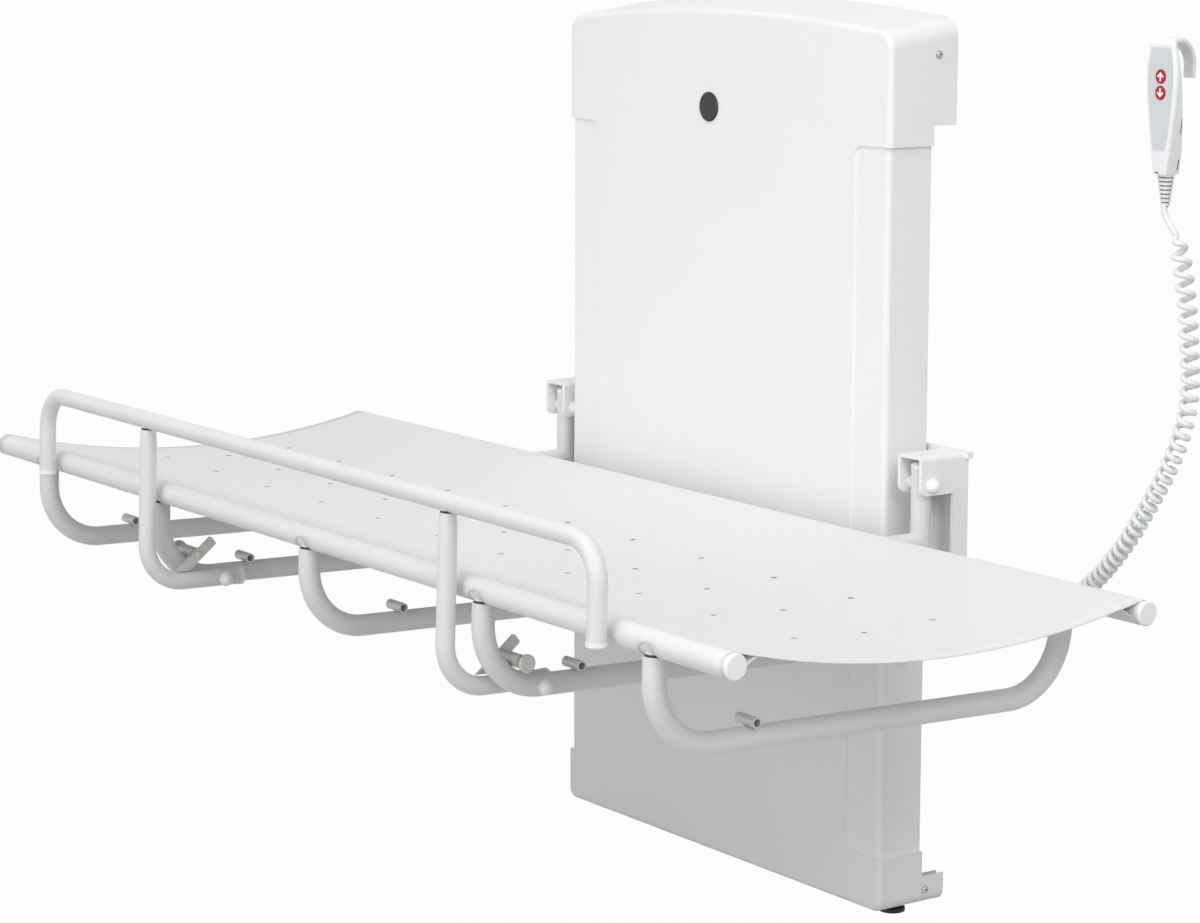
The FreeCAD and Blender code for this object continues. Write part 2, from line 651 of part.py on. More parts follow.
def pivot_bolts():
    bolts = []
    for side in (-1, 1):
        half = BRACKET_WIDTH / 2
        left = Vector(side * BRACKET_X - half, PIVOT_Y, PIVOT_Z)
        right = Vector(side * BRACKET_X + half, PIVOT_Y, PIVOT_Z)
        nuts = [domed_nut(left, X_AXIS * -1), domed_nut(right, X_AXIS)]
        bolts.append(fuse([rod(PIVOT_R, left, right)] + nuts))
    return Part.makeCompound(bolts)


def rail(y):
    end = RAIL_LENGTH / 2 - RAIL_CAP_THICK
    start, stop = Vector(-end, y, REAR_Z), Vector(end, y, REAR_Z)
    return tilted(rod(RAIL_R, start, stop).cut(rod(RAIL_R - TUBE_WALL, start, stop)))


def plug(face, outward, radius, thick, bore_r):
    stem = bore_r - PLUG_CLEAR
    inside = [(-PLUG_LENGTH, stem - 1), (-PLUG_LENGTH + 3, stem), (0, stem)]
    profile = inside + [(0, radius), (thick - 2, radius), (thick, radius - 2)]
    return revolved(profile, face, outward)


def rail_caps():
    caps = []
    for y in (FRONT_Y, REAR_Y):
        for side in (-1, 1):
            face = Vector(side * (RAIL_LENGTH / 2 - RAIL_CAP_THICK), y, REAR_Z)
            caps.append(plug(face, X_AXIS * side, RAIL_CAP_R, RAIL_CAP_THICK, RAIL_R - TUBE_WALL))
    return tilted(Part.makeCompound(caps))


def butted(tube, joint, radius):
    # Ends an upright tube just short of the rail that crosses it, on a plug that reaches the rail.
    x, y, z = joint.x, joint.y, joint.z
    end = z - radius - TUBE_END_GAP
    tube = tube.cut(box(x - 2 * radius, x + 2 * radius, y - 2 * radius, y + 2 * radius, end, z + 2 * radius))
    plug_low = Vector(x, y, end - TUBE_PLUG_DEPTH)
    plug = rod(radius - TUBE_WALL, plug_low, joint)
    plug = plug.cut(rod(radius, joint - X_AXIS * (2 * radius), joint + X_AXIS * (2 * radius)))
    plug = sorted(plug.Solids, key=lambda solid: solid.CenterOfMass.z)[0]
    return fuse([tube, plug])


def cross_tube(x):
    corners = [Vector(x, FRONT_Y, REAR_Z), Vector(x, FRONT_Y, CROSS_Z),
               Vector(x, REAR_Y, CROSS_Z), Vector(x, REAR_Y, REAR_Z)]
    tube = bent_tube(corners, CROSS_BEND, RAIL_R)
    for y in (FRONT_Y, REAR_Y):
        tube = butted(tube, Vector(x, y, REAR_Z), RAIL_R)
    if abs(abs(x) - CROSS_INNER) < 1e-6:
        pivot = Vector(x, GUARD_PIVOT_Y, CROSS_Z)
        bush = rod(GUARD_BUSH_R, pivot - X_AXIS * RAIL_R, pivot + X_AXIS * RAIL_R)
        tube = fuse([tube, bush.common(sweep(bent_wire(corners, CROSS_BEND), RAIL_R))])
        tube = tube.cut(rod(GUARD_BOLT_R, pivot - X_AXIS * 40, pivot + X_AXIS * 40))
    solids = sorted(tube.Solids, key=lambda solid: -solid.Volume)
    return tilted(solids[0])


def tray_sockets():
    sockets = []
    for x in CROSS_X:
        spot = Vector(x - SOCKET_LENGTH / 2, FRONT_Y + SOCKET_BACK, CROSS_Z + RAIL_R + SOCKET_R)
        tube = Part.makeCylinder(SOCKET_R, SOCKET_LENGTH, spot, X_AXIS)
        sockets.append(tube.cut(Part.makeCylinder(SOCKET_BORE_R, SOCKET_LENGTH, spot, X_AXIS)))
    return tilted(Part.makeCompound(sockets))


def hinge_arm(side):
    x = side * BRACKET_X
    low, high = Vector(x, PIVOT_Y, ARM_LOW), Vector(x, PIVOT_Y, ARM_TOP)
    post = rod(ARM_R, low, high).cut(rod(ARM_R - TUBE_WALL, low, high))
    near, far = Vector(x, PIVOT_Y, REAR_Z), Vector(x, REAR_Y, REAR_Z)
    stub = rod(ARM_R, near, far).cut(rod(ARM_R - TUBE_WALL, near, far)).cut(rod(ARM_R, low, high))
    stub = stub.cut(rod(RAIL_R, Vector(x - 60, REAR_Y, REAR_Z), Vector(x + 60, REAR_Y, REAR_Z)))
    stub = stub.cut(tilted(rod(RAIL_R, far, Vector(x, REAR_Y, CROSS_Z))))
    stub = sorted(stub.Solids, key=lambda solid: -solid.Volume)[0]
    half = BRACKET_WIDTH / 2 - BRACKET_WALL - ARM_SIDE_GAP
    pivot = Vector(x, PIVOT_Y, PIVOT_Z)
    bush = rod(ARM_BUSH_R, pivot - X_AXIS * half, pivot + X_AXIS * half)
    arm = fuse([post, stub, bush])
    return arm.cut(rod(PIVOT_R + RUNNING_FIT, pivot - X_AXIS * 40, pivot + X_AXIS * 40))


def arm_caps():
    caps = []
    inner = ARM_R - TUBE_WALL
    for side in (-1, 1):
        x = side * BRACKET_X
        top = Vector(x, PIVOT_Y, ARM_TOP)
        profile = [(-8, inner - PLUG_CLEAR), (0, inner - PLUG_CLEAR), (0, ARM_R), (ARM_CAP_THICK - 3, ARM_R),
                   (ARM_CAP_THICK, ARM_R - 4)]
        caps.append(revolved(profile, top, Z_AXIS))
        caps.append(plug(Vector(x, PIVOT_Y, ARM_LOW), Z_AXIS * -1, ARM_R, RAIL_CAP_THICK, inner))
    return Part.makeCompound(caps)


def sling_arc():
    # The sheet hangs as an arc that leaves both sleeves without a kink.
    middle = SLEEVE_OUT - SLING_THICK / 2
    half = RAIL_SPACING / 2
    radius = (half * half + SLING_DIP * SLING_DIP - middle * middle) / (2 * (middle + SLING_DIP))
    return radius, REAR_Z - SLING_DIP + radius


def sling():
    radius, centre_z = sling_arc()
    centre_y = (FRONT_Y + REAR_Y) / 2
    length = 2 * SLING_HALF
    origin = Vector(-SLING_HALF, centre_y, centre_z)
    sheet = Part.makeCylinder(radius + SLING_THICK / 2, length, origin, X_AXIS)
    sheet = sheet.cut(Part.makeCylinder(radius - SLING_THICK / 2, length, origin, X_AXIS))
    top = REAR_Z + SLEEVE_OUT + 1
    sheet = sheet.common(box(-SLING_HALF, SLING_HALF, FRONT_Y, REAR_Y, REAR_Z - SLING_DIP - 5, top))
    pieces = [sheet]
    for y in (FRONT_Y, REAR_Y):
        pieces.append(Part.makeCylinder(SLEEVE_OUT, length, Vector(-SLING_HALF, y, REAR_Z), X_AXIS))
    cloth = fuse(pieces)
    for y in (FRONT_Y, REAR_Y):
        cloth = cloth.cut(Part.makeCylinder(SLEEVE_IN, length, Vector(-SLING_HALF, y, REAR_Z), X_AXIS))
        for x in CROSS_X:
            spot = Vector(x, y, REAR_Z - SLING_SLOT_DROP)
            cloth = cloth.cut(rod(SLING_SLOT_R, spot, Vector(x, y, CROSS_Z)))
            cloth = cloth.cut(rod(SLING_SLOT_R, spot - Y_AXIS * RAIL_R * 2, spot + Y_AXIS * RAIL_R * 2))
    for side in (-1, 1):
        near = Vector(side * BRACKET_X, REAR_Y + SLEEVE_IN * 0.3, REAR_Z)
        cloth = cloth.cut(rod(SLING_SLOT_R, near, near + Y_AXIS * 60))
    for row in (-1, 0, 1):
        y = FRONT_Y + DRAIN_MIDDLE_BACK + row * DRAIN_ROW_GAP
        for k in range(DRAIN_PER_ROW):
            x = DRAIN_CENTRE_X + (k - (DRAIN_PER_ROW - 1) / 2) * DRAIN_PITCH
            cloth = cloth.cut(Part.makeCylinder(DRAIN_R, 60, Vector(x, y, REAR_Z - 50), Z_AXIS))
    return tilted(cloth)


def latch_bushes():
    bushes = []
    for side in (-1, 1):
        near = Vector(side * LATCH_BUSH_INNER, LATCH_Y, LATCH_Z)
        far = Vector(side * LATCH_BUSH_OUTER, LATCH_Y, LATCH_Z)
        bush = rod(LATCH_BUSH_R, near, far).cut(rod(LATCH_SPINDLE_R + RUNNING_FIT, near, far))
        x0, x1 = sorted((side * (LATCH_BUSH_OUTER - 6), side * (LATCH_BUSH_OUTER + 1)))
        bushes.append(bush.cut(box(x0, x1, LATCH_Y - 3, LATCH_Y + 3, LATCH_Z, LATCH_Z + 20)))
    return tilted(Part.makeCompound(bushes))


def guard_bolts():
    bolts = []
    for side in (-1, 1):
        outer = Vector(side * (CROSS_INNER + RAIL_R), GUARD_PIVOT_Y, CROSS_Z)
        inner = Vector(side * (GUARD_ARM_X - GUARD_R - GUARD_NUT_GAP), GUARD_PIVOT_Y, CROSS_Z)
        nuts = [domed_nut(outer, X_AXIS * side), domed_nut(inner, X_AXIS * -side)]
        bolts.append(fuse([rod(GUARD_BOLT_R, inner, outer)] + nuts))
    return tilted(Part.makeCompound(bolts))


def guard_rail():
    low = REAR_Z - GUARD_POST_LOW
    corners = [Vector(-GUARD_HALF, GUARD_Y, low), Vector(-GUARD_HALF, GUARD_Y, GUARD_Z),
               Vector(GUARD_HALF, GUARD_Y, GUARD_Z), Vector(GUARD_HALF, GUARD_Y, low)]
    return tilted(bent_tube(corners, GUARD_BEND, GUARD_R))


def guard_arm(side):
    x = side * GUARD_ARM_X
    tail = Vector(x, GUARD_PIVOT_Y + GUARD_TAIL, CROSS_Z)
    corners = [tail, Vector(x, GUARD_Y, CROSS_Z), Vector(x, GUARD_Y, GUARD_Z)]
    arm = bent_tube(corners, GUARD_ARM_BEND, GUARD_R)
    arm = butted(arm, Vector(x, GUARD_Y, GUARD_Z), GUARD_R)
    foot = Vector(x, GUARD_Y, GUARD_Z - GUARD_R - TUBE_END_GAP - GUARD_NECK_LENGTH)
    neck = Part.makeCone(GUARD_R, GUARD_NECK_R, GUARD_NECK_LENGTH, foot, Z_AXIS)
    around = rod(GUARD_R + 1, foot, foot + Z_AXIS * GUARD_NECK_LENGTH)
    arm = arm.cut(around.cut(neck))
    pivot = Vector(x, GUARD_PIVOT_Y, CROSS_Z)
    bush = rod(GUARD_BUSH_R, pivot - X_AXIS * GUARD_R, pivot + X_AXIS * GUARD_R)
    arm = fuse([arm, bush.common(sweep(bent_wire(corners, GUARD_ARM_BEND), GUARD_R))])
    return tilted(arm.cut(rod(GUARD_BOLT_R + RUNNING_FIT, pivot - X_AXIS * 40, pivot + X_AXIS * 40)))


def guard_caps():
    caps = []
    inner = GUARD_R - TUBE_WALL - PLUG_CLEAR
    rim = GUARD_R + GUARD_CAP_LIP
    for side in (-1, 1):
        spots = [(Vector(side * GUARD_HALF, GUARD_Y, REAR_Z - GUARD_POST_LOW), Z_AXIS * -1),
                 (Vector(side * GUARD_ARM_X, GUARD_PIVOT_Y + GUARD_TAIL, CROSS_Z), Y_AXIS)]
        for face, outward in spots:
            profile = [(-9, inner - 0.8), (-7, inner), (0, inner), (0, rim), (GUARD_CAP_THICK - 2.5, rim),
                       (GUARD_CAP_THICK, GUARD_R - 2.5)]
            caps.append(revolved(profile, face, outward))
    return tilted(Part.makeCompound(caps))


def latch_spindle(side):
    plate_in = GUARD_ARM_X - LATCH_PLATE_THICK / 2
    plate_out = GUARD_ARM_X + LATCH_PLATE_THICK / 2
    start = Vector(side * (plate_in - LATCH_HEAD_H), LATCH_Y, LATCH_Z)
    reach = LATCH_DISC_X - plate_in + LATCH_HEAD_H
    in_hole = LATCH_HEAD_H + plate_out - plate_in
    neck = LATCH_SPINDLE_R * 0.7
    head = [(0, LATCH_HEAD_R * 0.6), (LATCH_HEAD_H * 0.5, LATCH_HEAD_R), (LATCH_HEAD_H, LATCH_HEAD_R)]
    stem = [(LATCH_HEAD_H, neck), (in_hole, neck), (in_hole, LATCH_SPINDLE_R), (reach - 8, LATCH_SPINDLE_R),
            (reach - 8, neck), (reach, neck)]
    end = reach + LATCH_DISC_THICK
    profile = head + stem + [(reach, LATCH_DISC_R), (end - 1, LATCH_DISC_R), (end, LATCH_DISC_R - 1)]
    return tilted(revolved(profile, start, X_AXIS * side))


def latch_plate(side):
    slope = math.radians(LATCH_PLATE_SLOPE)
    half = LATCH_PLATE_WIDTH / 2
    x0 = side * GUARD_ARM_X - LATCH_PLATE_THICK / 2
    bar = box(x0, x0 + LATCH_PLATE_THICK, -80, LATCH_PLATE_UP, -half, half)
    upper = lambda edge: runs_along(edge, X_AXIS) and abs(edge.Vertexes[0].Y - LATCH_PLATE_UP) < 1e-6
    bar = rounded_edges(bar, 3.0, upper)
    bar.rotate(Vector(0, 0, 0), X_AXIS, math.degrees(slope))
    bar.translate(Vector(0, LATCH_Y, LATCH_Z))
    nose = CROSS_Z + GUARD_R + LATCH_NOSE_GAP
    bar = bar.cut(box(x0 - 1, x0 + LATCH_PLATE_THICK + 1, LATCH_Y - 150, LATCH_Y + 60, nose - 120, nose))
    near = Vector(x0 - 1, LATCH_Y, LATCH_Z)
    hole = rod(LATCH_SPINDLE_R * 0.7, near, near + X_AXIS * (LATCH_PLATE_THICK + 2))
    return tilted(bar.cut(hole))


def control_box():
    half = BOX_WIDTH / 2
    y0, y1 = BOX_Y - BOX_DEPTH / 2, BOX_Y + BOX_DEPTH / 2
    case = box(-half, half, y0, y1, SHELF_TOP, SHELF_TOP + BOX_HEIGHT)
    case = rounded_edges(case, 6.0, lambda edge: runs_along(edge, Z_AXIS))
    low, high = SHELF_TOP + 60, SHELF_TOP + BOX_HEIGHT - 30
    for k in range(-3, 4):
        case = case.cut(box(k * 22 - 3, k * 22 + 3, y0 - 1, y0 + 3, low, high))
    return case


def rounded_ring(centre, across, half, depth, corner):
    # A rounded rectangle that spans X and one other direction.
    ways = [X_AXIS, across, X_AXIS * -1, across * -1]
    reach = [half - corner, depth / 2 - corner]
    edges = []
    starts = []
    ends = []
    for k in range(4):
        here, there = ways[k], ways[(k + 1) % 4]
        spot = centre + here * reach[k % 2] + there * reach[(k + 1) % 2]
        starts.append(spot + here * corner)
        ends.append(spot + there * corner)
        turn = spot + (here + there).normalize() * corner
        edges.append(Part.Arc(starts[k], turn, ends[k]).toShape())
        if k:
            edges.insert(-1, Part.LineSegment(ends[k - 1], starts[k]).toShape())
    edges.append(Part.LineSegment(ends[3], starts[0]).toShape())
    return Part.Wire(edges)


def eased(share):
    return share * share * (3 - 2 * share)


def set_half(z):
    # The front swells from the cord end to the keys and draws in again towards the head.
    wide = SET_TOP - SET_WIDE_DROP
    if z < wide:
        share = (z - SET_LOW) / (wide - SET_LOW)
        return SET_LOW_HALF + (SET_WIDE_HALF - SET_LOW_HALF) * share * (1 + SET_SWELL * (1 - share * share))
    share = (z - wide) / (HOOK_CENTRE_Z - wide)
    return SET_WIDE_HALF + (SET_HEAD_HALF - SET_WIDE_HALF) * share * share


def set_body(low, high, inset, corner):
    # The front stays flat while the back thins out towards the head.
    rings = []
    for k in range(SET_STEPS + 1):
        z = low + (high - low) * k / SET_STEPS
        share = (z - SET_LOW) / (HOOK_CENTRE_Z - SET_LOW)
        depth = SET_DEPTH + (SET_TOP_DEPTH - SET_DEPTH) * eased(share)
        spot = Vector(SET_X, SET_FRONT + depth / 2, z)
        rings.append(rounded_ring(spot, Y_AXIS * -1, set_half(z) - inset, depth, corner))
    return Part.makeLoft(rings, True, False)


def hook_spot(turn):
    # Centre line of the head after so much turning: up a tight arc, then along a wide one.
    tight = math.radians(HOOK_TIGHT_TURN)
    first, last = min(turn, tight), max(turn, tight)
    back = HOOK_TIGHT_R * (1 - math.cos(first)) + HOOK_WIDE_R * (math.cos(tight) - math.cos(last))
    up = HOOK_TIGHT_R * math.sin(first) + HOOK_WIDE_R * (math.sin(last) - math.sin(tight))
    return Vector(SET_X, SET_FRONT + SET_TOP_DEPTH / 2 + back, HOOK_CENTRE_Z + up)


def set_hook():
    # The head bends over backwards and thins out to the hook's tip.
    tight = math.radians(HOOK_TIGHT_TURN)
    turns = [tight * k / HOOK_TIGHT_STEPS for k in range(HOOK_TIGHT_STEPS)]
    turns += [tight + (math.pi - tight) * k / HOOK_WIDE_STEPS for k in range(HOOK_WIDE_STEPS + 1)]
    rings = []
    for turn in turns:
        outward = Vector(0, -math.cos(turn), math.sin(turn))
        spot = hook_spot(turn)
        ease = eased(turn / math.pi)
        half = SET_HEAD_HALF + (HOOK_TIP_HALF - SET_HEAD_HALF) * ease
        depth = SET_TOP_DEPTH + (HOOK_TIP_THICK - SET_TOP_DEPTH) * ease
        corner = SET_ROUND + (HOOK_TIP_ROUND - SET_ROUND) * ease
        rings.append(rounded_ring(spot, outward, half, depth, corner))
    bend = Part.makeLoft(rings, True, False)
    tip = bend.Faces[0]
    for face in bend.Faces:
        if face.CenterOfMass.y > tip.CenterOfMass.y and abs(face.normalAt(0, 0).z) > 0.99:
            tip = face
    return fuse([bend, tip.extrude(Z_AXIS * -HOOK_DROP)])


def key_seat(z):
    depth = KEY_TRAVEL_ROOM + KEY_THICK - KEY_PROUD
    return Part.makeCylinder(KEY_R + KEY_CLEAR, depth, Vector(SET_X, SET_FRONT, z), Y_AXIS)


def inlay():
    high = SET_TOP - PANEL_TOP_GAP
    form = set_body(high - PANEL_LENGTH, high, PANEL_MARGIN, PANEL_ROUND)
    wide = 2 * SET_WIDE_HALF
    inside = SET_TOP_DEPTH / 2
    slab = box(SET_X - wide, SET_X + wide, SET_FRONT, SET_FRONT + inside, SET_LOW, SET_TOP)
    flat = form.common(slab)
    front = [face for face in flat.Faces if abs(face.CenterOfMass.y - SET_FRONT - inside) < 1e-6]
    plate = front[0].copy()
    plate.translate(Y_AXIS * -inside)
    plate = plate.extrude(Y_AXIS * PANEL_THICK)
    return rounded_edges(plate, PANEL_ROUND, lambda edge: runs_along(edge, Y_AXIS))


def handset_shell():
    shell = fuse([set_body(SET_LOW, HOOK_CENTRE_Z, 0, SET_ROUND), set_hook()])
    return shell.cut(inlay()).cut(key_seat(KEY_UP_Z)).cut(key_seat(KEY_DOWN_Z))


def handset_panel():
    return inlay().cut(key_seat(KEY_UP_Z)).cut(key_seat(KEY_DOWN_Z))


def button(z):
    face = Vector(SET_X, SET_FRONT + KEY_THICK - KEY_PROUD, z)
    profile = [(0, KEY_R), (KEY_THICK - 0.5, KEY_R), (KEY_THICK, KEY_R - 0.6)]
    return revolved(profile, face, Y_AXIS * -1)


def relief_form(inset):
    y = SET_FRONT + SET_DEPTH / 2
    tip = RELIEF_TIP_R - inset
    wide = rounded_ring(Vector(SET_X, y, SET_LOW), Y_AXIS * -1, RELIEF_HALF - inset, RELIEF_DEPTH - 2 * inset,
                        RELIEF_ROUND - inset)
    narrow = rounded_ring(Vector(SET_X, y, SET_LOW - RELIEF_LENGTH), Y_AXIS * -1, tip, 2 * tip, 0.98 * tip)
    return Part.makeLoft([wide, narrow], True, True)


def strain_relief():
    y = SET_FRONT + SET_DEPTH / 2
    pitch = RELIEF_LENGTH / RELIEF_RIBS
    ribs = []
    for k in range(RELIEF_RIBS):
        high = SET_LOW - k * pitch
        low = high - RELIEF_RIB_SHARE * pitch
        reach = RELIEF_DEPTH
        ribs.append(box(SET_X - reach, SET_X + reach, y - reach, y + reach, low, high))
    body = fuse([relief_form(RELIEF_GROOVE), relief_form(0).common(Part.makeCompound(ribs))])
    end = Vector(SET_X, y, SET_LOW - RELIEF_LENGTH)
    return body.cut(rod(CORD_R, end, end + Z_AXIS * (2 * CORD_R)))


def cord_line(u):
    # A smooth curve through a few chosen points: down from the handset, out in a bow, back under the bench.
    y = SET_FRONT + SET_DEPTH / 2
    low = SET_LOW - RELIEF_LENGTH
    knots = [(SET_X + 20, y - 3, low - 25), (SET_X + 47, y + 1, low - 163), (SET_X + 39, y + 5, low - 283),
             (SET_X - 42, y + 8, low - 422), (SET_X - 152, y + 17, low - 532),
             (GLAND_X + 190, GLAND_Y - 5, GLAND_Z)]
    count = len(knots) - 1
    place = min(max(u, 0.0), 1.0) * count
    k = min(int(place), count - 1)
    t = place - k
    points = [Vector(*knot) for knot in knots]
    first = points[k - 1] if k else points[0] + Vector(0, 0, 120)
    last = points[k + 2] if k + 2 <= count else points[count] - Vector(150, 0, 0)
    a, b = points[k], points[k + 1]
    ma, mb = (b - first) * 0.5, (last - a) * 0.5
    return (a * (2 * t ** 3 - 3 * t ** 2 + 1) + ma * (t ** 3 - 2 * t ** 2 + t)
            + b * (3 * t ** 2 - 2 * t ** 3) + mb * (t ** 3 - t ** 2))


def coil_table():
    steps = 600
    line = [cord_line(k / steps) for k in range(steps + 1)]
    run = [0.0]
    for a, b in zip(line, line[1:]):
        run.append(run[-1] + (b - a).Length)
    return line, run


LINE, RUN = coil_table()


def coil_point(turn):
    # Point of the helix after so many turns, which crowd together towards the lower end.
    # Its radius grows from nothing at one end and falls back at the other.
    share = (COIL_CROWDING ** (turn / COIL_TURNS) - 1) / (COIL_CROWDING - 1)
    want = share * RUN[-1]
    low, high = 0, len(RUN) - 1
    while high - low > 1:
        k = (low + high) // 2
        low, high = (k, high) if RUN[k] <= want else (low, k)
    t = (want - RUN[low]) / (RUN[high] - RUN[low])
    spot = LINE[low] * (1 - t) + LINE[high] * t
    ahead = LINE[min(high + 2, len(LINE) - 1)] - LINE[max(low - 2, 0)]
    ahead.normalize()
    side = ahead.cross(Y_AXIS).normalize()
    other = side.cross(ahead)
    swell = min(1.0, turn / 1.5, (COIL_TURNS - turn) / 1.5)
    swell = swell * swell * (3 - 2 * swell)
    angle = 2 * math.pi * turn
    return spot + (side * math.cos(angle) + other * math.sin(angle)) * (COIL_R * swell)


def arc_between(start, along, end):
    chord = end - start
    across = along - chord * (along.dot(chord) / chord.dot(chord))
    if across.Length < 1e-4:
        return Part.LineSegment(start, end).toShape()
    half = along.getAngle(chord)
    middle = (start + end) * 0.5 + across.normalize() * (chord.Length / 2 * math.tan(half / 2))
    return Part.Arc(start, middle, end).toShape()


def biarc(start, along, end, onward):
    chord = end - start
    total = along + onward
    a = 2 * (along.dot(onward) - 1)
    b = -2 * chord.dot(total)
    c = chord.dot(chord)
    if abs(a) < 1e-9:
        reach = -c / b
    else:
        reach = (-b - math.sqrt(b * b - 4 * a * c)) / (2 * a)
    joint = (start + along * reach + end - onward * reach) * 0.5
    turned = (joint - start - along * reach)
    turned = turned.normalize() if turned.Length > 1e-9 else along
    return [arc_between(start, along, joint), arc_between(joint, turned, end)]


def handset_cord():
    y = SET_FRONT + SET_DEPTH / 2
    top = Vector(SET_X, y, SET_LOW - RELIEF_LENGTH + 2 * CORD_R)
    knots = [top, Vector(SET_X, y, SET_LOW - RELIEF_LENGTH - 2 * CORD_R)]
    edges = [Part.LineSegment(knots[0], knots[1]).toShape()]
    half_turns = [k / 2 for k in range(2 * COIL_TURNS + 1)]
    points = [coil_point(turn) for turn in half_turns]
    small = 1e-3
    tangents = []
    for turn in half_turns:
        step = coil_point(min(turn + small, COIL_TURNS)) - coil_point(max(turn - small, 0))
        tangents.append(step.normalize())
    end = Vector(GLAND_X, GLAND_Y, GLAND_Z)
    lead = end + X_AXIS * (4 * CORD_R)
    points = [knots[1]] + points + [lead]
    tangents = [Z_AXIS * -1] + tangents + [X_AXIS * -1]
    for k in range(len(points) - 1):
        edges += biarc(points[k], tangents[k], points[k + 1], tangents[k + 1])
    edges.append(Part.LineSegment(lead, end).toShape())
    return sweep(Part.Wire(edges), CORD_R)


def coil_gap():
    # Least distance between the wire's skins, one turn apart and more, on points of the helix.
    points = [coil_point(k / 16) for k in range(16 * COIL_TURNS + 1)]
    least = 1e9
    for i, a in enumerate(points):
        for b in points[i + 12:i + 40]:
            least = min(least, (a - b).Length)
    return least - 2 * CORD_R


def cord_gland():
    base = Vector(UPRIGHT_X + UPRIGHT_WIDTH / 2, GLAND_Y, GLAND_Z)
    length = GLAND_X - base.x
    profile = [(0, GLAND_R), (length * 0.5, GLAND_R), (length * 0.55, GLAND_R - 1.5), (length, CORD_R + 1.2)]
    return revolved(profile, base, X_AXIS)


def export(name, shape):
    shape.exportStep("parts/" + name + ".step")


os.makedirs("parts", exist_ok=True)
export("wall_frame", wall_frame())
export("base_shelf", base_shelf())
export("top_bracket", top_bracket())
export("cover", cover())
export("cover_screws", cover_screws())
export("badge", badge())
export("control_box", control_box())
export("carriage_head", carriage_head())
export("carriage_plate", carriage_plate())
export("pivot_bolts", pivot_bolts())
export("front_rail", rail(FRONT_Y))
export("rear_rail", rail(REAR_Y))
export("rail_caps", rail_caps())
export("tray_sockets", tray_sockets())
export("arm_caps", arm_caps())
export("sling", sling())
export("latch_bushes", latch_bushes())
export("guard_bolts", guard_bolts())
export("guard_rail", guard_rail())
export("guard_caps", guard_caps())
for number, place in enumerate(CROSS_X, 1):
    export("cross_tube_%d" % number, cross_tube(place))
for word, sign in (("left", -1), ("right", 1)):
    export("foot_" + word, foot(sign))
    export("lift_outer_" + word, lift_outer(sign))
    export("lift_middle_" + word, lift_middle(sign))
    export("lift_inner_" + word, lift_inner(sign))
    export("bracket_" + word, bracket(sign))
    export("arm_stop_" + word, arm_stop(sign))
    export("hinge_arm_" + word, hinge_arm(sign))
    export("guard_arm_" + word, guard_arm(sign))
    export("latch_spindle_" + word, latch_spindle(sign))
    export("latch_plate_" + word, latch_plate(sign))
export("handset_shell", handset_shell())
export("handset_panel", handset_panel())
export("button_up", button(KEY_UP_Z))
export("button_down", button(KEY_DOWN_Z))
export("strain_relief", strain_relief())
export("cord_gland", cord_gland())
export("handset_cord", handset_cord())
print("coil self-gap %.2f mm, cord run %.0f mm" % (coil_gap(), RUN[-1]))
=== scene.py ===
import json
import math

import bpy
import numpy as np
from mathutils import Matrix, Vector


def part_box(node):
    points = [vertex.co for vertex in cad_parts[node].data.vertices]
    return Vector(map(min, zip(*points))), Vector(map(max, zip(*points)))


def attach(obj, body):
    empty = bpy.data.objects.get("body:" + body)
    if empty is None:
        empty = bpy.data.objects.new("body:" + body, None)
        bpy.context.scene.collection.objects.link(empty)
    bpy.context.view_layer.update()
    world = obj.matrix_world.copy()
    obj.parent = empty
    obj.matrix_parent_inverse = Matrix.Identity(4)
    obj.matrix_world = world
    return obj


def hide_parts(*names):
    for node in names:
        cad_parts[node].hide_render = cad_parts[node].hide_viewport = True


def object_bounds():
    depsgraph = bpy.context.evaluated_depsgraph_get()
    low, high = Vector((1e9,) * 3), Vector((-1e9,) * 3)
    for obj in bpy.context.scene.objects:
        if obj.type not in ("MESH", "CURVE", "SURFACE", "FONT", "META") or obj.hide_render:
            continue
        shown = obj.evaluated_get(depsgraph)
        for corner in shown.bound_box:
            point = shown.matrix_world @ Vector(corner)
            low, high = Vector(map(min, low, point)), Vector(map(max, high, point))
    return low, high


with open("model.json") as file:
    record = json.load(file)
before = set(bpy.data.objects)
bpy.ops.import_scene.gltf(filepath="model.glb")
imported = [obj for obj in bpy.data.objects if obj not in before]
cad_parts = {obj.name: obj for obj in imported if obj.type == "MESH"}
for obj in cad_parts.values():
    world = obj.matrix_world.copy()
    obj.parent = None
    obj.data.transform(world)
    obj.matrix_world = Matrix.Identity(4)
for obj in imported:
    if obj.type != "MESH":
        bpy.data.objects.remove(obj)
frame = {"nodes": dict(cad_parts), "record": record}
cadLow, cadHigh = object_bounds()
nodes = frame["nodes"]
print("frame loaded,", len(nodes), "nodes")

# Camera: the photo's angle, worked out from the rails and the column's corners.
camera = {
    "place": (3.8434, -3.1095, 0.8161),
    "yaw": -54.210,        # degrees from +Y towards +X
    "pitch": -8.000,
    "roll": 0.178,
    "focalPixels": 3296.3,
    "imageWidth": 1200,
    "shiftPixels": -100,   # the photo keeps its uprights upright, so its frame sits below the axis
}


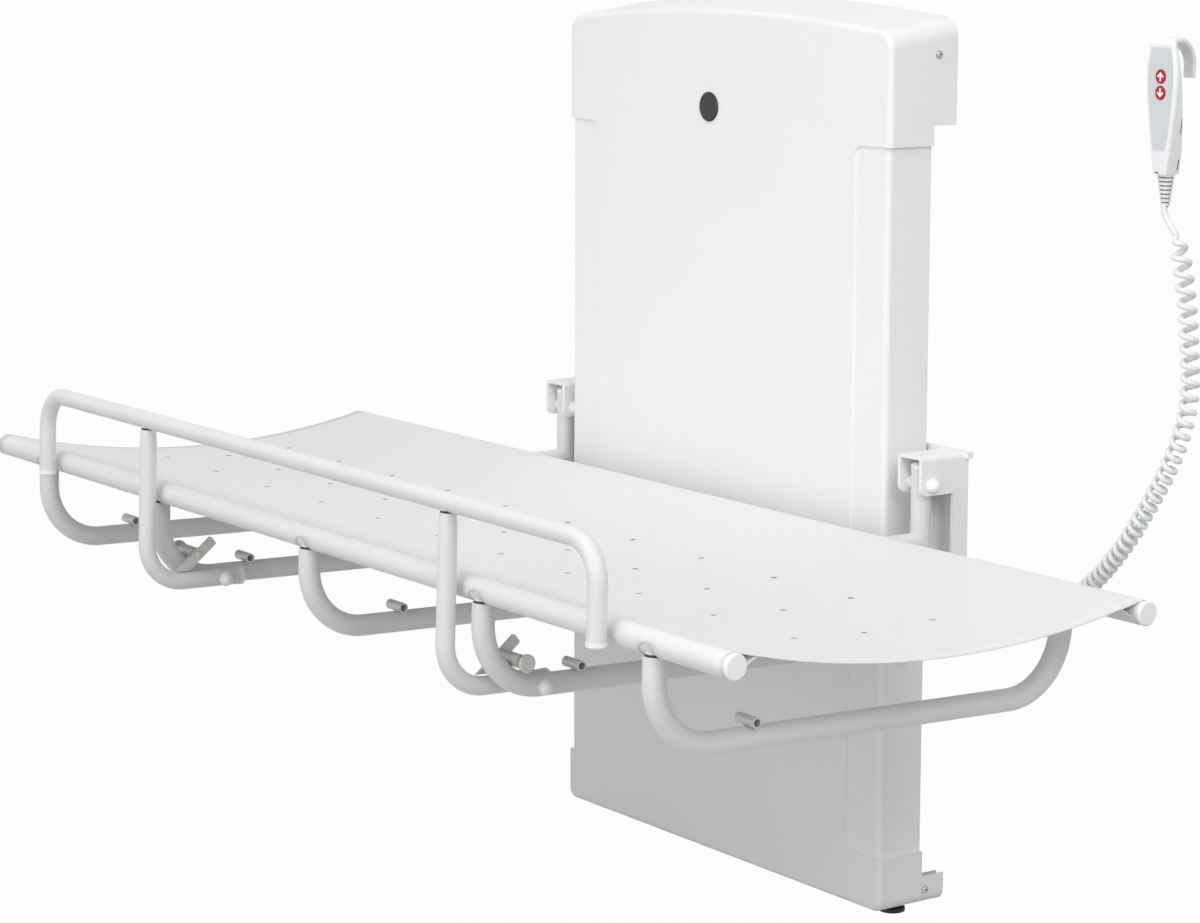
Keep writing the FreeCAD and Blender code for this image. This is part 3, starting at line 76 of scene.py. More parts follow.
def aimCamera(facts):
    yaw, pitch, roll = (math.radians(facts[name]) for name in ("yaw", "pitch", "roll"))
    ahead = Vector((math.sin(yaw) * math.cos(pitch), math.cos(yaw) * math.cos(pitch), math.sin(pitch)))
    right = Vector((math.cos(yaw), -math.sin(yaw), 0))
    up = right.cross(ahead)
    rolledRight = right * math.cos(roll) + up * math.sin(roll)
    rolledUp = up * math.cos(roll) - right * math.sin(roll)
    data = bpy.data.cameras.new("photoCamera")
    data.sensor_width = 36
    data.lens = facts["focalPixels"] * data.sensor_width / facts["imageWidth"]
    data.shift_y = facts["shiftPixels"] / facts["imageWidth"]
    data.clip_end = 100
    eye = bpy.data.objects.new("photoCamera", data)
    bpy.context.collection.objects.link(eye)
    turn = Matrix((rolledRight, rolledUp, -ahead)).transposed().to_4x4()
    eye.matrix_world = Matrix.Translation(facts["place"]) @ turn
    bpy.context.scene.camera = eye


aimCamera(camera)
bpy.context.scene.view_settings.view_transform = "Standard"
print("camera set")


# Mesh helpers

def newPiece(name, points, faces, smooth=True):
    mesh = bpy.data.meshes.new(name)
    mesh.from_pydata(points, [], faces)
    mesh.update()
    mesh.polygons.foreach_set("use_smooth", np.full(len(mesh.polygons), smooth))
    piece = bpy.data.objects.new(name, mesh)
    bpy.context.collection.objects.link(piece)
    return piece


def gridFaces(rows, columns, closed=False):
    # quads between neighbours of a rows x columns grid; closed joins the last column to the first
    row = np.arange(rows - 1)[:, None]
    column = np.arange(columns if closed else columns - 1)[None, :]
    after = (column + 1) % columns
    quads = np.stack([row * columns + column, row * columns + after,
                      (row + 1) * columns + after, (row + 1) * columns + column], -1)
    return quads.reshape(-1, 4)


def thicken(piece, thick, offset):
    wall = piece.modifiers.new("thickness", "SOLIDIFY")
    wall.thickness = thick
    wall.offset = offset


# Handset cord: a curly sheath round a smooth line from the handset to the gland under the bench.
cordFacts = {
    "route": [(0.842, -0.054, 0.430), (0.842, -0.054, 0.414), (0.868, -0.054, 0.392),
              (0.883, -0.052, 0.330), (0.890, -0.049, 0.250), (0.893, -0.047, 0.175),
              (0.864, -0.045, 0.098), (0.817, -0.044, 0.025), (0.765, -0.041, -0.044),
              (0.701, -0.035, -0.102), (0.629, -0.028, -0.148), (0.550, -0.020, -0.193),
              (0.483, -0.014, -0.219), (0.384, -0.012, -0.215), (0.300, -0.011, -0.216)],
    "routeSteps": 48,       # points read back between two points of the route
    "radius": 0.0040,
    "coilRadius": 0.0092,
    "turns": 55,
    "crowding": 0.45,       # last pitch over the first: the lower turns lie closer together
    "plainTop": 0.040,      # straight wire below the strain relief
    "plainEnd": 0.190,      # straight lead along the wall to the gland
    "swellTurns": 1.5,      # turns over which the coil grows from the straight wire
    "pointsPerTurn": 24,
    "topPoints": 5,         # points on the straight wire at each end
    "endPoints": 12,
    "headingReach": 0.004,  # the line's heading is taken this far before and after a point
    "ringSteps": 2,
    "roundness": 5,
}


def smoothLine(points, steps):
    # the route's NURBS spline, read back as points
    curve = bpy.data.curves.new("cordRoute", "CURVE")
    curve.dimensions = "3D"
    spline = curve.splines.new("NURBS")
    spline.points.add(len(points) - 1)
    spline.points.foreach_set("co", np.c_[points, np.ones(len(points))].ravel())
    spline.order_u = 3
    spline.use_endpoint_u = True
    spline.resolution_u = steps
    holder = bpy.data.objects.new("cordRoute", curve)
    bpy.context.collection.objects.link(holder)
    bpy.context.view_layer.update()
    mesh = bpy.data.meshes.new_from_object(holder.evaluated_get(bpy.context.evaluated_depsgraph_get()))
    line = np.empty(len(mesh.vertices) * 3)
    mesh.vertices.foreach_get("co", line)
    bpy.data.objects.remove(holder)
    bpy.data.meshes.remove(mesh)
    return line.reshape(-1, 3)


def curledWire(facts):
    # Helix: centre line + coilRadius * (side * cos + other * sin), its radius easing in and out at both ends;
    # the share of the run grows as crowding ** (turn / turns), so the pitch falls steadily.
    line = smoothLine(facts["route"], facts["routeSteps"])
    run = np.r_[0, np.cumsum(np.linalg.norm(np.diff(line, axis=0), axis=1))]
    coilStart, coilEnd = facts["plainTop"], run[-1] - facts["plainEnd"]
    turn = np.linspace(0, facts["turns"], facts["turns"] * facts["pointsPerTurn"] + 1)
    share = (facts["crowding"] ** (turn / facts["turns"]) - 1) / (facts["crowding"] - 1)
    along = coilStart + (coilEnd - coilStart) * share
    top, end = facts["topPoints"], facts["endPoints"]
    along = np.r_[np.linspace(0, coilStart, top)[:-1], along, np.linspace(coilEnd, run[-1], end)[1:]]
    turn = np.r_[np.zeros(top - 1), turn, np.full(end - 1, facts["turns"])]

    def onLine(distance):
        return np.stack([np.interp(distance, run, line[:, axis]) for axis in range(3)], 1)

    spot = onLine(along)
    ahead = onLine(along + facts["headingReach"]) - onLine(along - facts["headingReach"])
    ahead /= np.linalg.norm(ahead, axis=1)[:, None]
    side = np.cross(ahead, (0, 1, 0))
    side /= np.linalg.norm(side, axis=1)[:, None]
    other = np.cross(side, ahead)
    swell = np.clip(np.minimum(turn, facts["turns"] - turn) / facts["swellTurns"], 0, 1)
    swell = swell * swell * (3 - 2 * swell) * facts["coilRadius"]
    angle = 2 * np.pi * turn
    return spot + side * (swell * np.cos(angle))[:, None] + other * (swell * np.sin(angle))[:, None]


def makeCord(facts):
    wire = curledWire(facts)
    curve = bpy.data.curves.new("curlyCord", "CURVE")
    curve.dimensions = "3D"
    spline = curve.splines.new("NURBS")
    spline.points.add(len(wire) - 1)
    spline.points.foreach_set("co", np.c_[wire, np.ones(len(wire))].ravel())
    spline.points.foreach_set("radius", np.full(len(wire), facts["radius"]))
    spline.order_u = 3
    spline.use_endpoint_u = True
    spline.resolution_u = facts["ringSteps"]
    curve.bevel_depth = 1.0      # times each point's radius
    curve.bevel_resolution = facts["roundness"]
    curve.use_fill_caps = True
    piece = bpy.data.objects.new("curlyCord", curve)
    bpy.context.collection.objects.link(piece)
    length = np.linalg.norm(np.diff(wire, axis=0), axis=1).sum()
    return piece, float(length), wire[-1]


curlyCord, cordLength, glandPoint = makeCord(cordFacts)
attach(curlyCord, "column")
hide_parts("handset_cord")
print("cord laid, wire length %.3f m" % cordLength)


# Sling: one coated sheet, stretched between the rails and turned round each of them in a sleeve.
slingFacts = {
    "thick": 0.0012,
    "sleeveRadius": 0.0158,    # middle of the cloth round a rail
    "dip": 0.024,              # lowest point below the line of the rails
    "hem": 0.030,              # width of the welded overlap under the sheet
    "hemStart": 0.030,         # distance from the rail's axis to the overlap
    "hemGap": 0.0006,          # the welded overlap sinks half its thickness into the sheet
    "leaveAngle": 330,         # degrees round the rail where the sleeve turns back to the sheet
    "notchAcross": 0.0185,     # half width of the cut-outs for the cross tubes
    "notchAlong": 0.0262,      # half length of the cut-outs, measured round the sleeve
    "armNotchAngle": -38,      # the hinge arms' cut-outs reach up the back of the rear sleeve
    "armNotchAlong": 0.0300,
    "drainRadius": 0.004,
    "drainPitch": 0.160,
    "drainPerRow": 11,
    "drainCentre": -0.020,
    "drainRows": (0.2225, 0.3355, 0.4485),   # distance behind the front rail
    "coarseStep": 0.020,       # grid spacing along the rails
    "sheetStep": 0.016,        # grid spacing across the sheet
    "sleeveStep": 0.003,       # grid spacing round the sleeves and next to them
    "sleeveReach": 0.030,
    "arcPoints": 60,
    "leastAcross": 0.003,      # a plain grid line keeps this far from a hole's lines
    "leastAlong": 0.0012,
    "sameTube": 0.010,         # a cross tube this near to a hinge arm shares its cut-out
}


def middleX(name):
    return sum(end.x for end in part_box(name)) / 2


def railCentre(name):
    low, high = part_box(name)
    return np.array([(low.y + high.y) / 2, (low.z + high.z) / 2])


def slingProfile(facts):
    # section across the rails: hem, sleeve round the front rail, sagging arc, sleeve round the rear rail, hem
    front, rear = railCentre("front_rail"), railCentre("rear_rail")
    gap = np.linalg.norm(rear - front)
    along = (rear - front) / gap
    upward = np.array([-along[1], along[0]])
    half, wrap, dip = gap / 2, facts["sleeveRadius"], facts["dip"]
    sag = (half ** 2 + dip ** 2 - wrap ** 2) / (2 * (wrap + dip))   # radius of the sagging arc
    sagUp = sag - dip
    lean = math.atan2(half, sagUp)
    touch = math.pi / 2 - lean
    leave = math.radians(facts["leaveAngle"])
    turn = np.arange(leave, touch, -facts["sleeveStep"] / wrap)
    sleeve = np.stack([np.cos(turn), np.sin(turn)], 1) * wrap
    swing = np.linspace(-lean, lean, facts["arcPoints"])[1:-1]
    sheet = np.stack([half + sag * np.sin(swing), sagUp - sag * np.cos(swing)], 1)
    first, last = sheet[:, 0].searchsorted([facts["hemStart"], facts["hemStart"] + facts["hem"]])
    hem = sheet[first:last][::-1] - (0, facts["hemGap"])
    frontHalf = np.r_[hem, sleeve]
    rearHalf = (frontHalf * (-1, 1) + (gap, 0))[::-1]
    flat = np.r_[frontHalf, sheet, rearHalf]
    run = np.r_[0, np.cumsum(np.linalg.norm(np.diff(flat, axis=0), axis=1))]
    frontStart = run[len(hem)]
    marks = {
        "frontBottom": frontStart + (leave - 1.5 * math.pi) * wrap,
        "sheetStart": run[len(frontHalf) - 1],
        "length": run[-1],
    }
    marks["rearBottom"] = run[-1] - marks["frontBottom"]
    bottomToArm = math.radians(90 + facts["armNotchAngle"]) * wrap
    marks["rearArm"] = marks["rearBottom"] - bottomToArm

    def place(distance):
        across = np.interp(distance, run, flat[:, 0])
        height = np.interp(distance, run, flat[:, 1])
        return front + across[..., None] * along + height[..., None] * upward

    middle = slice(len(frontHalf), -len(rearHalf))
    rows = [np.interp(back, flat[middle, 0], run[middle]) for back in facts["drainRows"]]
    return place, marks, rows


def thinned(lines, keep, least):
    # drops plain lines that lie too near to the hole lines
    lines = np.unique(np.round(lines, 6))
    far = np.abs(lines[:, None] - np.asarray(keep)[None, :]).min(1) > least
    return np.unique(np.r_[lines[far], np.round(keep, 6)])


def makeSling(facts):
    place, marks, rows = slingProfile(facts)
    low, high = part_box("sling")
    tubes = [middleX("cross_tube_%d" % k) for k in range(1, 6)]
    arms = [middleX("hinge_arm_" + side) for side in ("left", "right")]
    count = facts["drainPerRow"]
    drains = facts["drainCentre"] + (np.arange(count) - (count - 1) / 2) * facts["drainPitch"]
    spread = np.array([-1.6, -1, -0.5, 0, 0.5, 1, 1.6])    # grid lines at a hole, in its half widths
    acrossKeep = np.r_[low.x, high.x, np.add.outer(drains, facts["drainRadius"] * spread).ravel(),
                       np.add.outer(tubes, facts["notchAcross"] * spread).ravel()]
    acrossKeep = acrossKeep[(acrossKeep >= low.x) & (acrossKeep <= high.x)]
    plainAcross = np.linspace(low.x, high.x, int((high.x - low.x) / facts["coarseStep"]))
    acrossLines = thinned(plainAcross, acrossKeep, facts["leastAcross"])
    bottoms = [marks["frontBottom"], marks["rearBottom"]]
    alongKeep = np.r_[0, marks["length"], np.add.outer(rows, facts["drainRadius"] * spread).ravel(),
                      np.add.outer(bottoms, facts["notchAlong"] * spread[1:-1]).ravel(),
                      marks["rearArm"] + facts["armNotchAlong"] * spread[1:-1]]
    sleeveEnd = marks["sheetStart"] + facts["sleeveReach"]
    wrapped = np.r_[np.arange(0, sleeveEnd, facts["sleeveStep"]),
                    np.arange(marks["length"] - sleeveEnd, marks["length"], facts["sleeveStep"])]
    plainAlong = np.arange(0, marks["length"], facts["sheetStep"])
    alongLines = thinned(np.r_[wrapped, plainAlong], alongKeep, facts["leastAlong"])
    across, along = np.meshgrid(acrossLines, alongLines, indexing="ij")
    holes = [(x, s, facts["drainRadius"], facts["drainRadius"]) for x in drains for s in rows]
    holes += [(x, marks["frontBottom"], facts["notchAcross"], facts["notchAlong"]) for x in tubes]
    holes += [(x, marks["rearBottom"], facts["notchAcross"], facts["notchAlong"])
              for x in tubes if min(abs(x - arm) for arm in arms) > facts["sameTube"]]
    holes += [(x, marks["rearArm"], facts["notchAcross"], facts["armNotchAlong"]) for x in arms]
    newAcross, newAlong, cutEdge = across.copy(), along.copy(), np.zeros(across.shape)
    for x, s, wide, tall in holes:
        u, v = (across - x) / wide, (along - s) / tall
        square = np.maximum(np.abs(u), np.abs(v))
        rim = np.abs(square - 1) < 1e-3
        size = np.hypot(u, v) + 1e-9
        newAcross[rim] = x + (u / size)[rim] * wide      # the square of grid lines is drawn in to a round rim
        newAlong[rim] = s + (v / size)[rim] * tall
        # the drain holes' rims are marked for the painted shade on their walls
        cutEdge[rim] = wide == facts["drainRadius"]
    spots = place(newAlong)
    points = np.stack([newAcross, spots[..., 0], spots[..., 1]], -1).reshape(-1, 3)
    quads = gridFaces(*across.shape)
    middleAcross, middleAlong = (((lines[1:, 1:] + lines[:-1, :-1]) / 2).ravel() for lines in (across, along))
    keep = np.ones(len(quads), bool)
    for x, s, wide, tall in holes:
        keep &= np.maximum(np.abs(middleAcross - x) / wide, np.abs(middleAlong - s) / tall) > 1
    quads = quads[keep]
    used = np.unique(quads)
    renumber = np.zeros(len(points), int)
    renumber[used] = np.arange(len(used))
    piece = newPiece("slingCloth", points[used], renumber[quads])
    flatMap = np.stack([newAcross.ravel(), newAlong.ravel()], 1)[used]
    layer = piece.data.uv_layers.new(name="flat")
    loops = np.empty(len(piece.data.loops), int)
    piece.data.loops.foreach_get("vertex_index", loops)
    layer.data.foreach_set("uv", flatMap[loops].ravel())
    edges = piece.data.attributes.new("cutEdge", "FLOAT", "POINT")
    edges.data.foreach_set("value", cutEdge.ravel()[used])
    thicken(piece, facts["thick"], 0)
    return piece, (high.x - low.x, float(marks["length"])), marks


slingCloth, slingFlat, slingMarks = makeSling(slingFacts)
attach(slingCloth, "bench")
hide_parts("sling")
print("sling cut %.3f x %.3f m" % slingFlat)


# Joint gaps: painted shadow. Dark bands round the flat end of each tube that meets a rail from below stand in
# for the shade in the narrow gap between them.
gapShadeFacts = {
    "open": 0.0008,            # space between the tube's end and the rail
    "tall": 0.0030,            # most that the painted shadow band shows of the plug
    "proud": 0.00015,          # the painted shadow band lies this far outside the tube's plug
    "thick": 0.0001,
    "columns": 48,
    "joints": [
        # axes: rail measured from, then distance behind it and above it
        {"name": "tubeGapShade", "body": "bench", "rail": 0.0150, "plug": 0.0125,
         "tubes": ["cross_tube_%d" % k for k in range(1, 6)],
         "axes": [("front_rail", 0, 0), ("rear_rail", 0, 0)]},
        {"name": "armGapShade", "body": "guard", "rail": 0.0125, "plug": 0.0100,
         "tubes": ["guard_arm_left", "guard_arm_right"], "axes": [("front_rail", -0.0370, 0.1115)]},
    ],
}


def makeGapShade(facts, joint):
    # painted shadow: a dark band round each plug, from the tube's end towards the rail's underside, which
    # lies sqrt(rail ** 2 - back ** 2) below the rail's axis
    front, rear = railCentre("front_rail"), railCentre("rear_rail")
    along = (rear - front) / np.linalg.norm(rear - front)
    upward = np.array([-along[1], along[0]])
    angle = np.arange(facts["columns"]) * 2 * np.pi / facts["columns"]
    radius = joint["plug"] + facts["proud"]
    back = radius * np.sin(angle)
    low = np.full(facts["columns"], -joint["rail"] - facts["open"])
    high = np.minimum(-np.sqrt(joint["rail"] ** 2 - back ** 2), low + facts["tall"])
    rings = []
    for tube in joint["tubes"]:
        x = middleX(tube) + radius * np.cos(angle)
        for rail, behind, above in joint["axes"]:
            centre = railCentre(rail) + behind * along + above * upward
            rings += [np.c_[x, centre + back[:, None] * along + height[:, None] * upward]
                      for height in (low, high)]
    band = gridFaces(2, facts["columns"], closed=True)
    faces = np.concatenate([band + k * facts["columns"] for k in range(0, len(rings), 2)])
    piece = newPiece(joint["name"], np.concatenate(rings), faces)
    thicken(piece, facts["thick"], 1)
    return piece


gapShadeBands = [makeGapShade(gapShadeFacts, joint) for joint in gapShadeFacts["joints"]]
for piece, joint in zip(gapShadeBands, gapShadeFacts["joints"]):
    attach(piece, joint["body"])
print("joint gaps made")


# Key arrows: raised white arrows on the two keys.
arrowFacts = {
    "height": 0.0120,
    "headWidth": 0.0122,
    "headHeight": 0.0058,
    "stemWidth": 0.0028,
    "barbIn": 0.002184,        # from the head's corner to the inner end of its slanted stroke
    "barbDown": 0.001638,
    "neck": 0.004914,          # from the tip to where the strokes meet the stem
    "raise": 0.00012,
    "thick": 0.0003,
}


def makeArrow(node, up, facts):
    # outline of an arrow in the key's face, with its tip at the top or the bottom
    low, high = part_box(node)
    x, z, y = (low.x + high.x) / 2, (low.z + high.z) / 2, low.y - facts["raise"]
    way = 1 if up else -1
    tall, wide, stem = (facts[name] / 2 for name in ("height", "headWidth", "stemWidth"))
    shoulder, neck = tall - facts["headHeight"], tall - facts["neck"]
    inner, lower = wide - facts["barbIn"], shoulder - facts["barbDown"]
    outline = np.array([(0, tall), (wide, shoulder), (inner, lower), (stem, neck), (stem, -tall),
                        (-stem, -tall), (-stem, neck), (-inner, lower), (-wide, shoulder)])
    points = np.c_[x + outline[:, 0], np.full(len(outline), y), z + outline[:, 1] * way]
    order = list(range(len(outline)))
    piece = newPiece(node + "Arrow", points, [order[::-1] if up else order], smooth=False)
    thicken(piece, facts["thick"], -1)
    return piece


upArrow = makeArrow("button_up", True, arrowFacts)
downArrow = makeArrow("button_down", False, arrowFacts)
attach(upArrow, "key_up")
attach(downArrow, "key_down")
print("key arrows made")

# Handset slots: painted shade. Dark patches lie on the skin where the handset's clip slots are, in its right
# side and a small one at the foot of its front; the slots are not cut, the patches stand in for the shade
# inside them.
slotShadeFacts = {
    "node": "handset_shell",
    "lift": 0.00012,           # the patch lies this far above the skin
    "thick": 0.0003,
    "rows": 7,
    "slots": [
        {"name": "upperSlotShade", "from": (0.95, -0.0478, 0.5300), "look": (-1, 0, 0), "size": (0.0013, 0.0200)},
        {"name": "lowerSlotShade", "from": (0.95, -0.0440, 0.4800), "look": (-1, 0, 0), "size": (0.0016, 0.0140)},
        {"name": "footSlotShade", "from": (0.8390, -0.20, 0.4700), "look": (0, 1, 0), "size": (0.0056, 0.0018)},
    ],
}


def makeSlotShade(facts, slot):
    # a grid of points thrown on to the skin along the slot's look direction
    body = nodes[facts["node"]]
    into = body.matrix_world.inverted()
    look, up = Vector(slot["look"]), Vector((0, 0, 1))
    across = look.cross(up)
    wide, tall = slot["size"]
    starts = [Vector(slot["from"]) + across * (sideways * wide) + up * (upwards * tall)
              for upwards in np.linspace(-0.5, 0.5, facts["rows"]) for sideways in (-0.5, 0.5)]
    hits = [body.ray_cast(into @ start, into.to_3x3() @ look) for start in starts]
    points = [body.matrix_world @ (spot + normal * facts["lift"]) for _, spot, normal, _ in hits]
    piece = newPiece(slot["name"], points, gridFaces(facts["rows"], 2), smooth=False)
    thicken(piece, facts["thick"], -1)
    return piece


slotShadePatches = [makeSlotShade(slotShadeFacts, slot) for slot in slotShadeFacts["slots"]]
for patch in slotShadePatches:
    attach(patch, "column")
print("handset slots made")


# Materials

def linear(code):
    parts = [int(code[k:k + 2], 16) / 255 for k in (1, 3, 5)]
    return tuple(p / 12.92 if p <= 0.04045 else ((p + 0.055) / 1.055) ** 2.4 for p in parts) + (1.0,)


def addNode(tree, kind, values=None, links=None, **settings):
    node = tree.nodes.new(kind)
    for name, value in settings.items():
        setattr(node, name, value)
    for name, value in (values or {}).items():
        node.inputs[name].default_value = value
    for name, socket in (links or {}).items():
        tree.links.new(socket, node.inputs[name])
    return node


def newMaterial(name, **sockets):
    material = bpy.data.materials.new(name)
    material.use_nodes = True
    tree = material.node_tree
    shader = tree.nodes["Principled BSDF"]
    for socket, value in sockets.items():
        shader.inputs[socket.replace("_", " ")].default_value = value
    return material, tree, shader


finishes = {
    # moulded, coated and printed surfaces: colour, its cloudy second tone, roughness,
    # and the sizes of the grain and the clouds in mm
    "coverSheet": {"colour": "#f2f3f3", "tone": "#eff0f0", "rough": 0.52, "roughSpread": 0.06, "grain": 0.9,
                   "bump": 0.05, "cloud": 240, "ior": 1.50},    # thermoformed sheet: satin, a faint ripple
    "powderCoat": {"colour": "#e5e6e7", "tone": "#dfe0e1", "rough": 0.40, "roughSpread": 0.08, "grain": 1.6,
                   "bump": 0.10, "cloud": 90, "ior": 1.50},     # powder coat on steel tube: fine orange peel
    "mouldedWhite": {"colour": "#f6f8f9", "tone": "#f1f3f5", "rough": 0.42, "roughSpread": 0.06, "grain": 0.7,
                     "bump": 0.06, "cloud": 30, "ior": 1.53},   # moulded polyamide: fine spark-eroded skin
    "bracketCoat": {"colour": "#f6f5f3", "tone": "#f0efed", "rough": 0.46, "roughSpread": 0.08, "grain": 1.2,
                    "bump": 0.10, "cloud": 70, "ior": 1.50},   # light grey coat on folded steel sheet
    "frameCoat": {"colour": "#b9bdbf", "tone": "#afb4b7", "rough": 0.48, "roughSpread": 0.08, "grain": 1.4,
                  "bump": 0.12, "cloud": 90, "ior": 1.50},     # grey coat on the hidden steelwork
    "handsetShell": {"colour": "#eef0f1", "tone": "#eaecee", "rough": 0.40, "roughSpread": 0.05, "grain": 0.6,
                     "bump": 0.05, "cloud": 40, "ior": 1.53},  # moulded ABS: satin, fine texture
    "handsetInlay": {"colour": "#d3d8db", "tone": "#cdd3d6", "rough": 0.50, "roughSpread": 0.05, "grain": 0.5,
                     "bump": 0.05, "cloud": 30, "ior": 1.53},  # printed polyester overlay: matt
    "keyRed": {"colour": "#ad111e", "tone": "#a30d19", "rough": 0.50, "roughSpread": 0.05, "grain": 0.5,
               "bump": 0.04, "cloud": 10, "ior": 1.50},        # domed silicone key under the overlay
    "arrowWhite": {"colour": "#f4f4f4", "tone": "#efefef", "rough": 0.5, "roughSpread": 0.04, "grain": 0.4,
                   "bump": 0.03, "cloud": 6, "ior": 1.50},     # white screen print
    "cordSheath": {"colour": "#eaeced", "tone": "#e6e8e9", "rough": 0.55, "roughSpread": 0.05, "grain": 4.0,
                   "bump": 0.02, "cloud": 25, "ior": 1.50},    # extruded polyurethane sheath: satin
    "footRubber": {"colour": "#262627", "tone": "#1f1f20", "rough": 0.72, "roughSpread": 0.10, "grain": 0.8,
                   "bump": 0.20, "cloud": 20, "ior": 1.52},    # moulded black rubber: dull, slightly dusty
    "badgeGloss": {"colour": "#1b1b1d", "tone": "#232326", "rough": 0.22, "roughSpread": 0.05, "grain": 0.6,
                   "bump": 0.02, "cloud": 20, "ior": 1.50},    # domed dark resin disc: glossy
    "boxShell": {"colour": "#3a3b3d", "tone": "#343537", "rough": 0.55, "roughSpread": 0.08, "grain": 0.8,
                 "bump": 0.15, "cloud": 40, "ior": 1.53},      # moulded dark grey case: coarse texture
}
metals = {
    # bare metals: colour, roughness, brush line spacing in mm and the direction the lines run
    "fittingSteel": {"colour": "#d9d6d2", "rough": 0.44, "line": 0.5, "stretch": (0.06, 1, 1), "metal": 0.3},
    "screwSteel": {"colour": "#b5b6b8", "rough": 0.34, "line": 0.4, "stretch": (1, 1, 1), "metal": 1.0},
    "liftAluminium": {"colour": "#c9cbcd", "rough": 0.38, "line": 0.6, "stretch": (1, 1, 0.03), "metal": 1.0},
}

brushing = {"darker": 0.86, "roughSpread": 0.08, "bump": 0.08}    # how strongly a metal's lines show


def coatedFinish(name, facts):
    # colour drifts over the cloud size; roughness and a fine bump follow the grain
    material, tree, shader = newMaterial(name, IOR=facts["ior"])
    where = addNode(tree, "ShaderNodeTexCoord").outputs["Object"]
    cloud = addNode(tree, "ShaderNodeTexNoise",
                    {"Scale": 1000 / facts["cloud"], "Detail": 3.0, "Roughness": 0.55}, {"Vector": where})
    tint = addNode(tree, "ShaderNodeMix", {6: linear(facts["colour"]), 7: linear(facts["tone"])},
                   {0: cloud.outputs["Fac"]}, data_type="RGBA")
    tree.links.new(tint.outputs[2], shader.inputs["Base Color"])
    grain = addNode(tree, "ShaderNodeTexNoise", {"Scale": 1000 / facts["grain"], "Detail": 2.0},
                    {"Vector": where})
    rough = addNode(tree, "ShaderNodeMapRange", {"To Min": facts["rough"] - facts["roughSpread"],
                                                 "To Max": facts["rough"] + facts["roughSpread"]},
                    {"Value": cloud.outputs["Fac"]})
    tree.links.new(rough.outputs["Result"], shader.inputs["Roughness"])
    bump = addNode(tree, "ShaderNodeBump", {"Strength": facts["bump"], "Distance": facts["grain"] / 1000},
                   {"Height": grain.outputs["Fac"]})
    tree.links.new(bump.outputs["Normal"], shader.inputs["Normal"])
    return material


def metalFinish(name, facts):
    # fine lines left by drawing or brushing, in roughness, tone and bump
    material, tree, shader = newMaterial(name, Metallic=facts["metal"])
    where = addNode(tree, "ShaderNodeTexCoord").outputs["Object"]
    drawn = addNode(tree, "ShaderNodeMapping", {"Scale": facts["stretch"]}, {"Vector": where})
    lines = addNode(tree, "ShaderNodeTexNoise", {"Scale": 1000 / facts["line"], "Detail": 3.0},
                    {"Vector": drawn.outputs["Vector"]})
    dark = tuple(value * brushing["darker"] for value in linear(facts["colour"])[:3]) + (1.0,)
    tint = addNode(tree, "ShaderNodeMix", {6: dark, 7: linear(facts["colour"])}, {0: lines.outputs["Fac"]},
                   data_type="RGBA")
    tree.links.new(tint.outputs[2], shader.inputs["Base Color"])
    rough = addNode(tree, "ShaderNodeMapRange", {"To Min": facts["rough"] - brushing["roughSpread"],
                                                 "To Max": facts["rough"] + brushing["roughSpread"]},
                    {"Value": lines.outputs["Fac"]})
    tree.links.new(rough.outputs["Result"], shader.inputs["Roughness"])
    bump = addNode(tree, "ShaderNodeBump", {"Strength": brushing["bump"], "Distance": facts["line"] / 1000},
                   {"Height": lines.outputs["Fac"]})
    tree.links.new(bump.outputs["Normal"], shader.inputs["Normal"])
    return material


weave = {
    "thread": 1.1,            # mm between threads, drawn about twice as coarse as real so that it shows
    "colour": "#ecedee",
    # painted shade between the threads: the weave's low places are darker
    "valleyShade": "#e4e5e6",
    "core": "#a4a6a8",        # painted shade on the punched holes' walls, for the shade inside the holes
    "coreFrom": 0.86,         # share of the way to a hole's rim where the painted shade starts
    "coreFull": 0.94,
    "roughValley": 0.58,      # between the threads
    "roughTop": 0.48,
    "bump": 0.12,
    "bumpHeight": 0.0003,
    "ior": 1.50,
    "seamInner": 0.030,       # metres inside the sleeve where the welded overlap starts
    "seamOuter": 0.058,
    "seamEdge": 0.002,
    "seamPress": 0.25,        # share of the weave's relief that is left in the weld
    "seamSink": -1.2,         # depth of the weld in thread heights
}


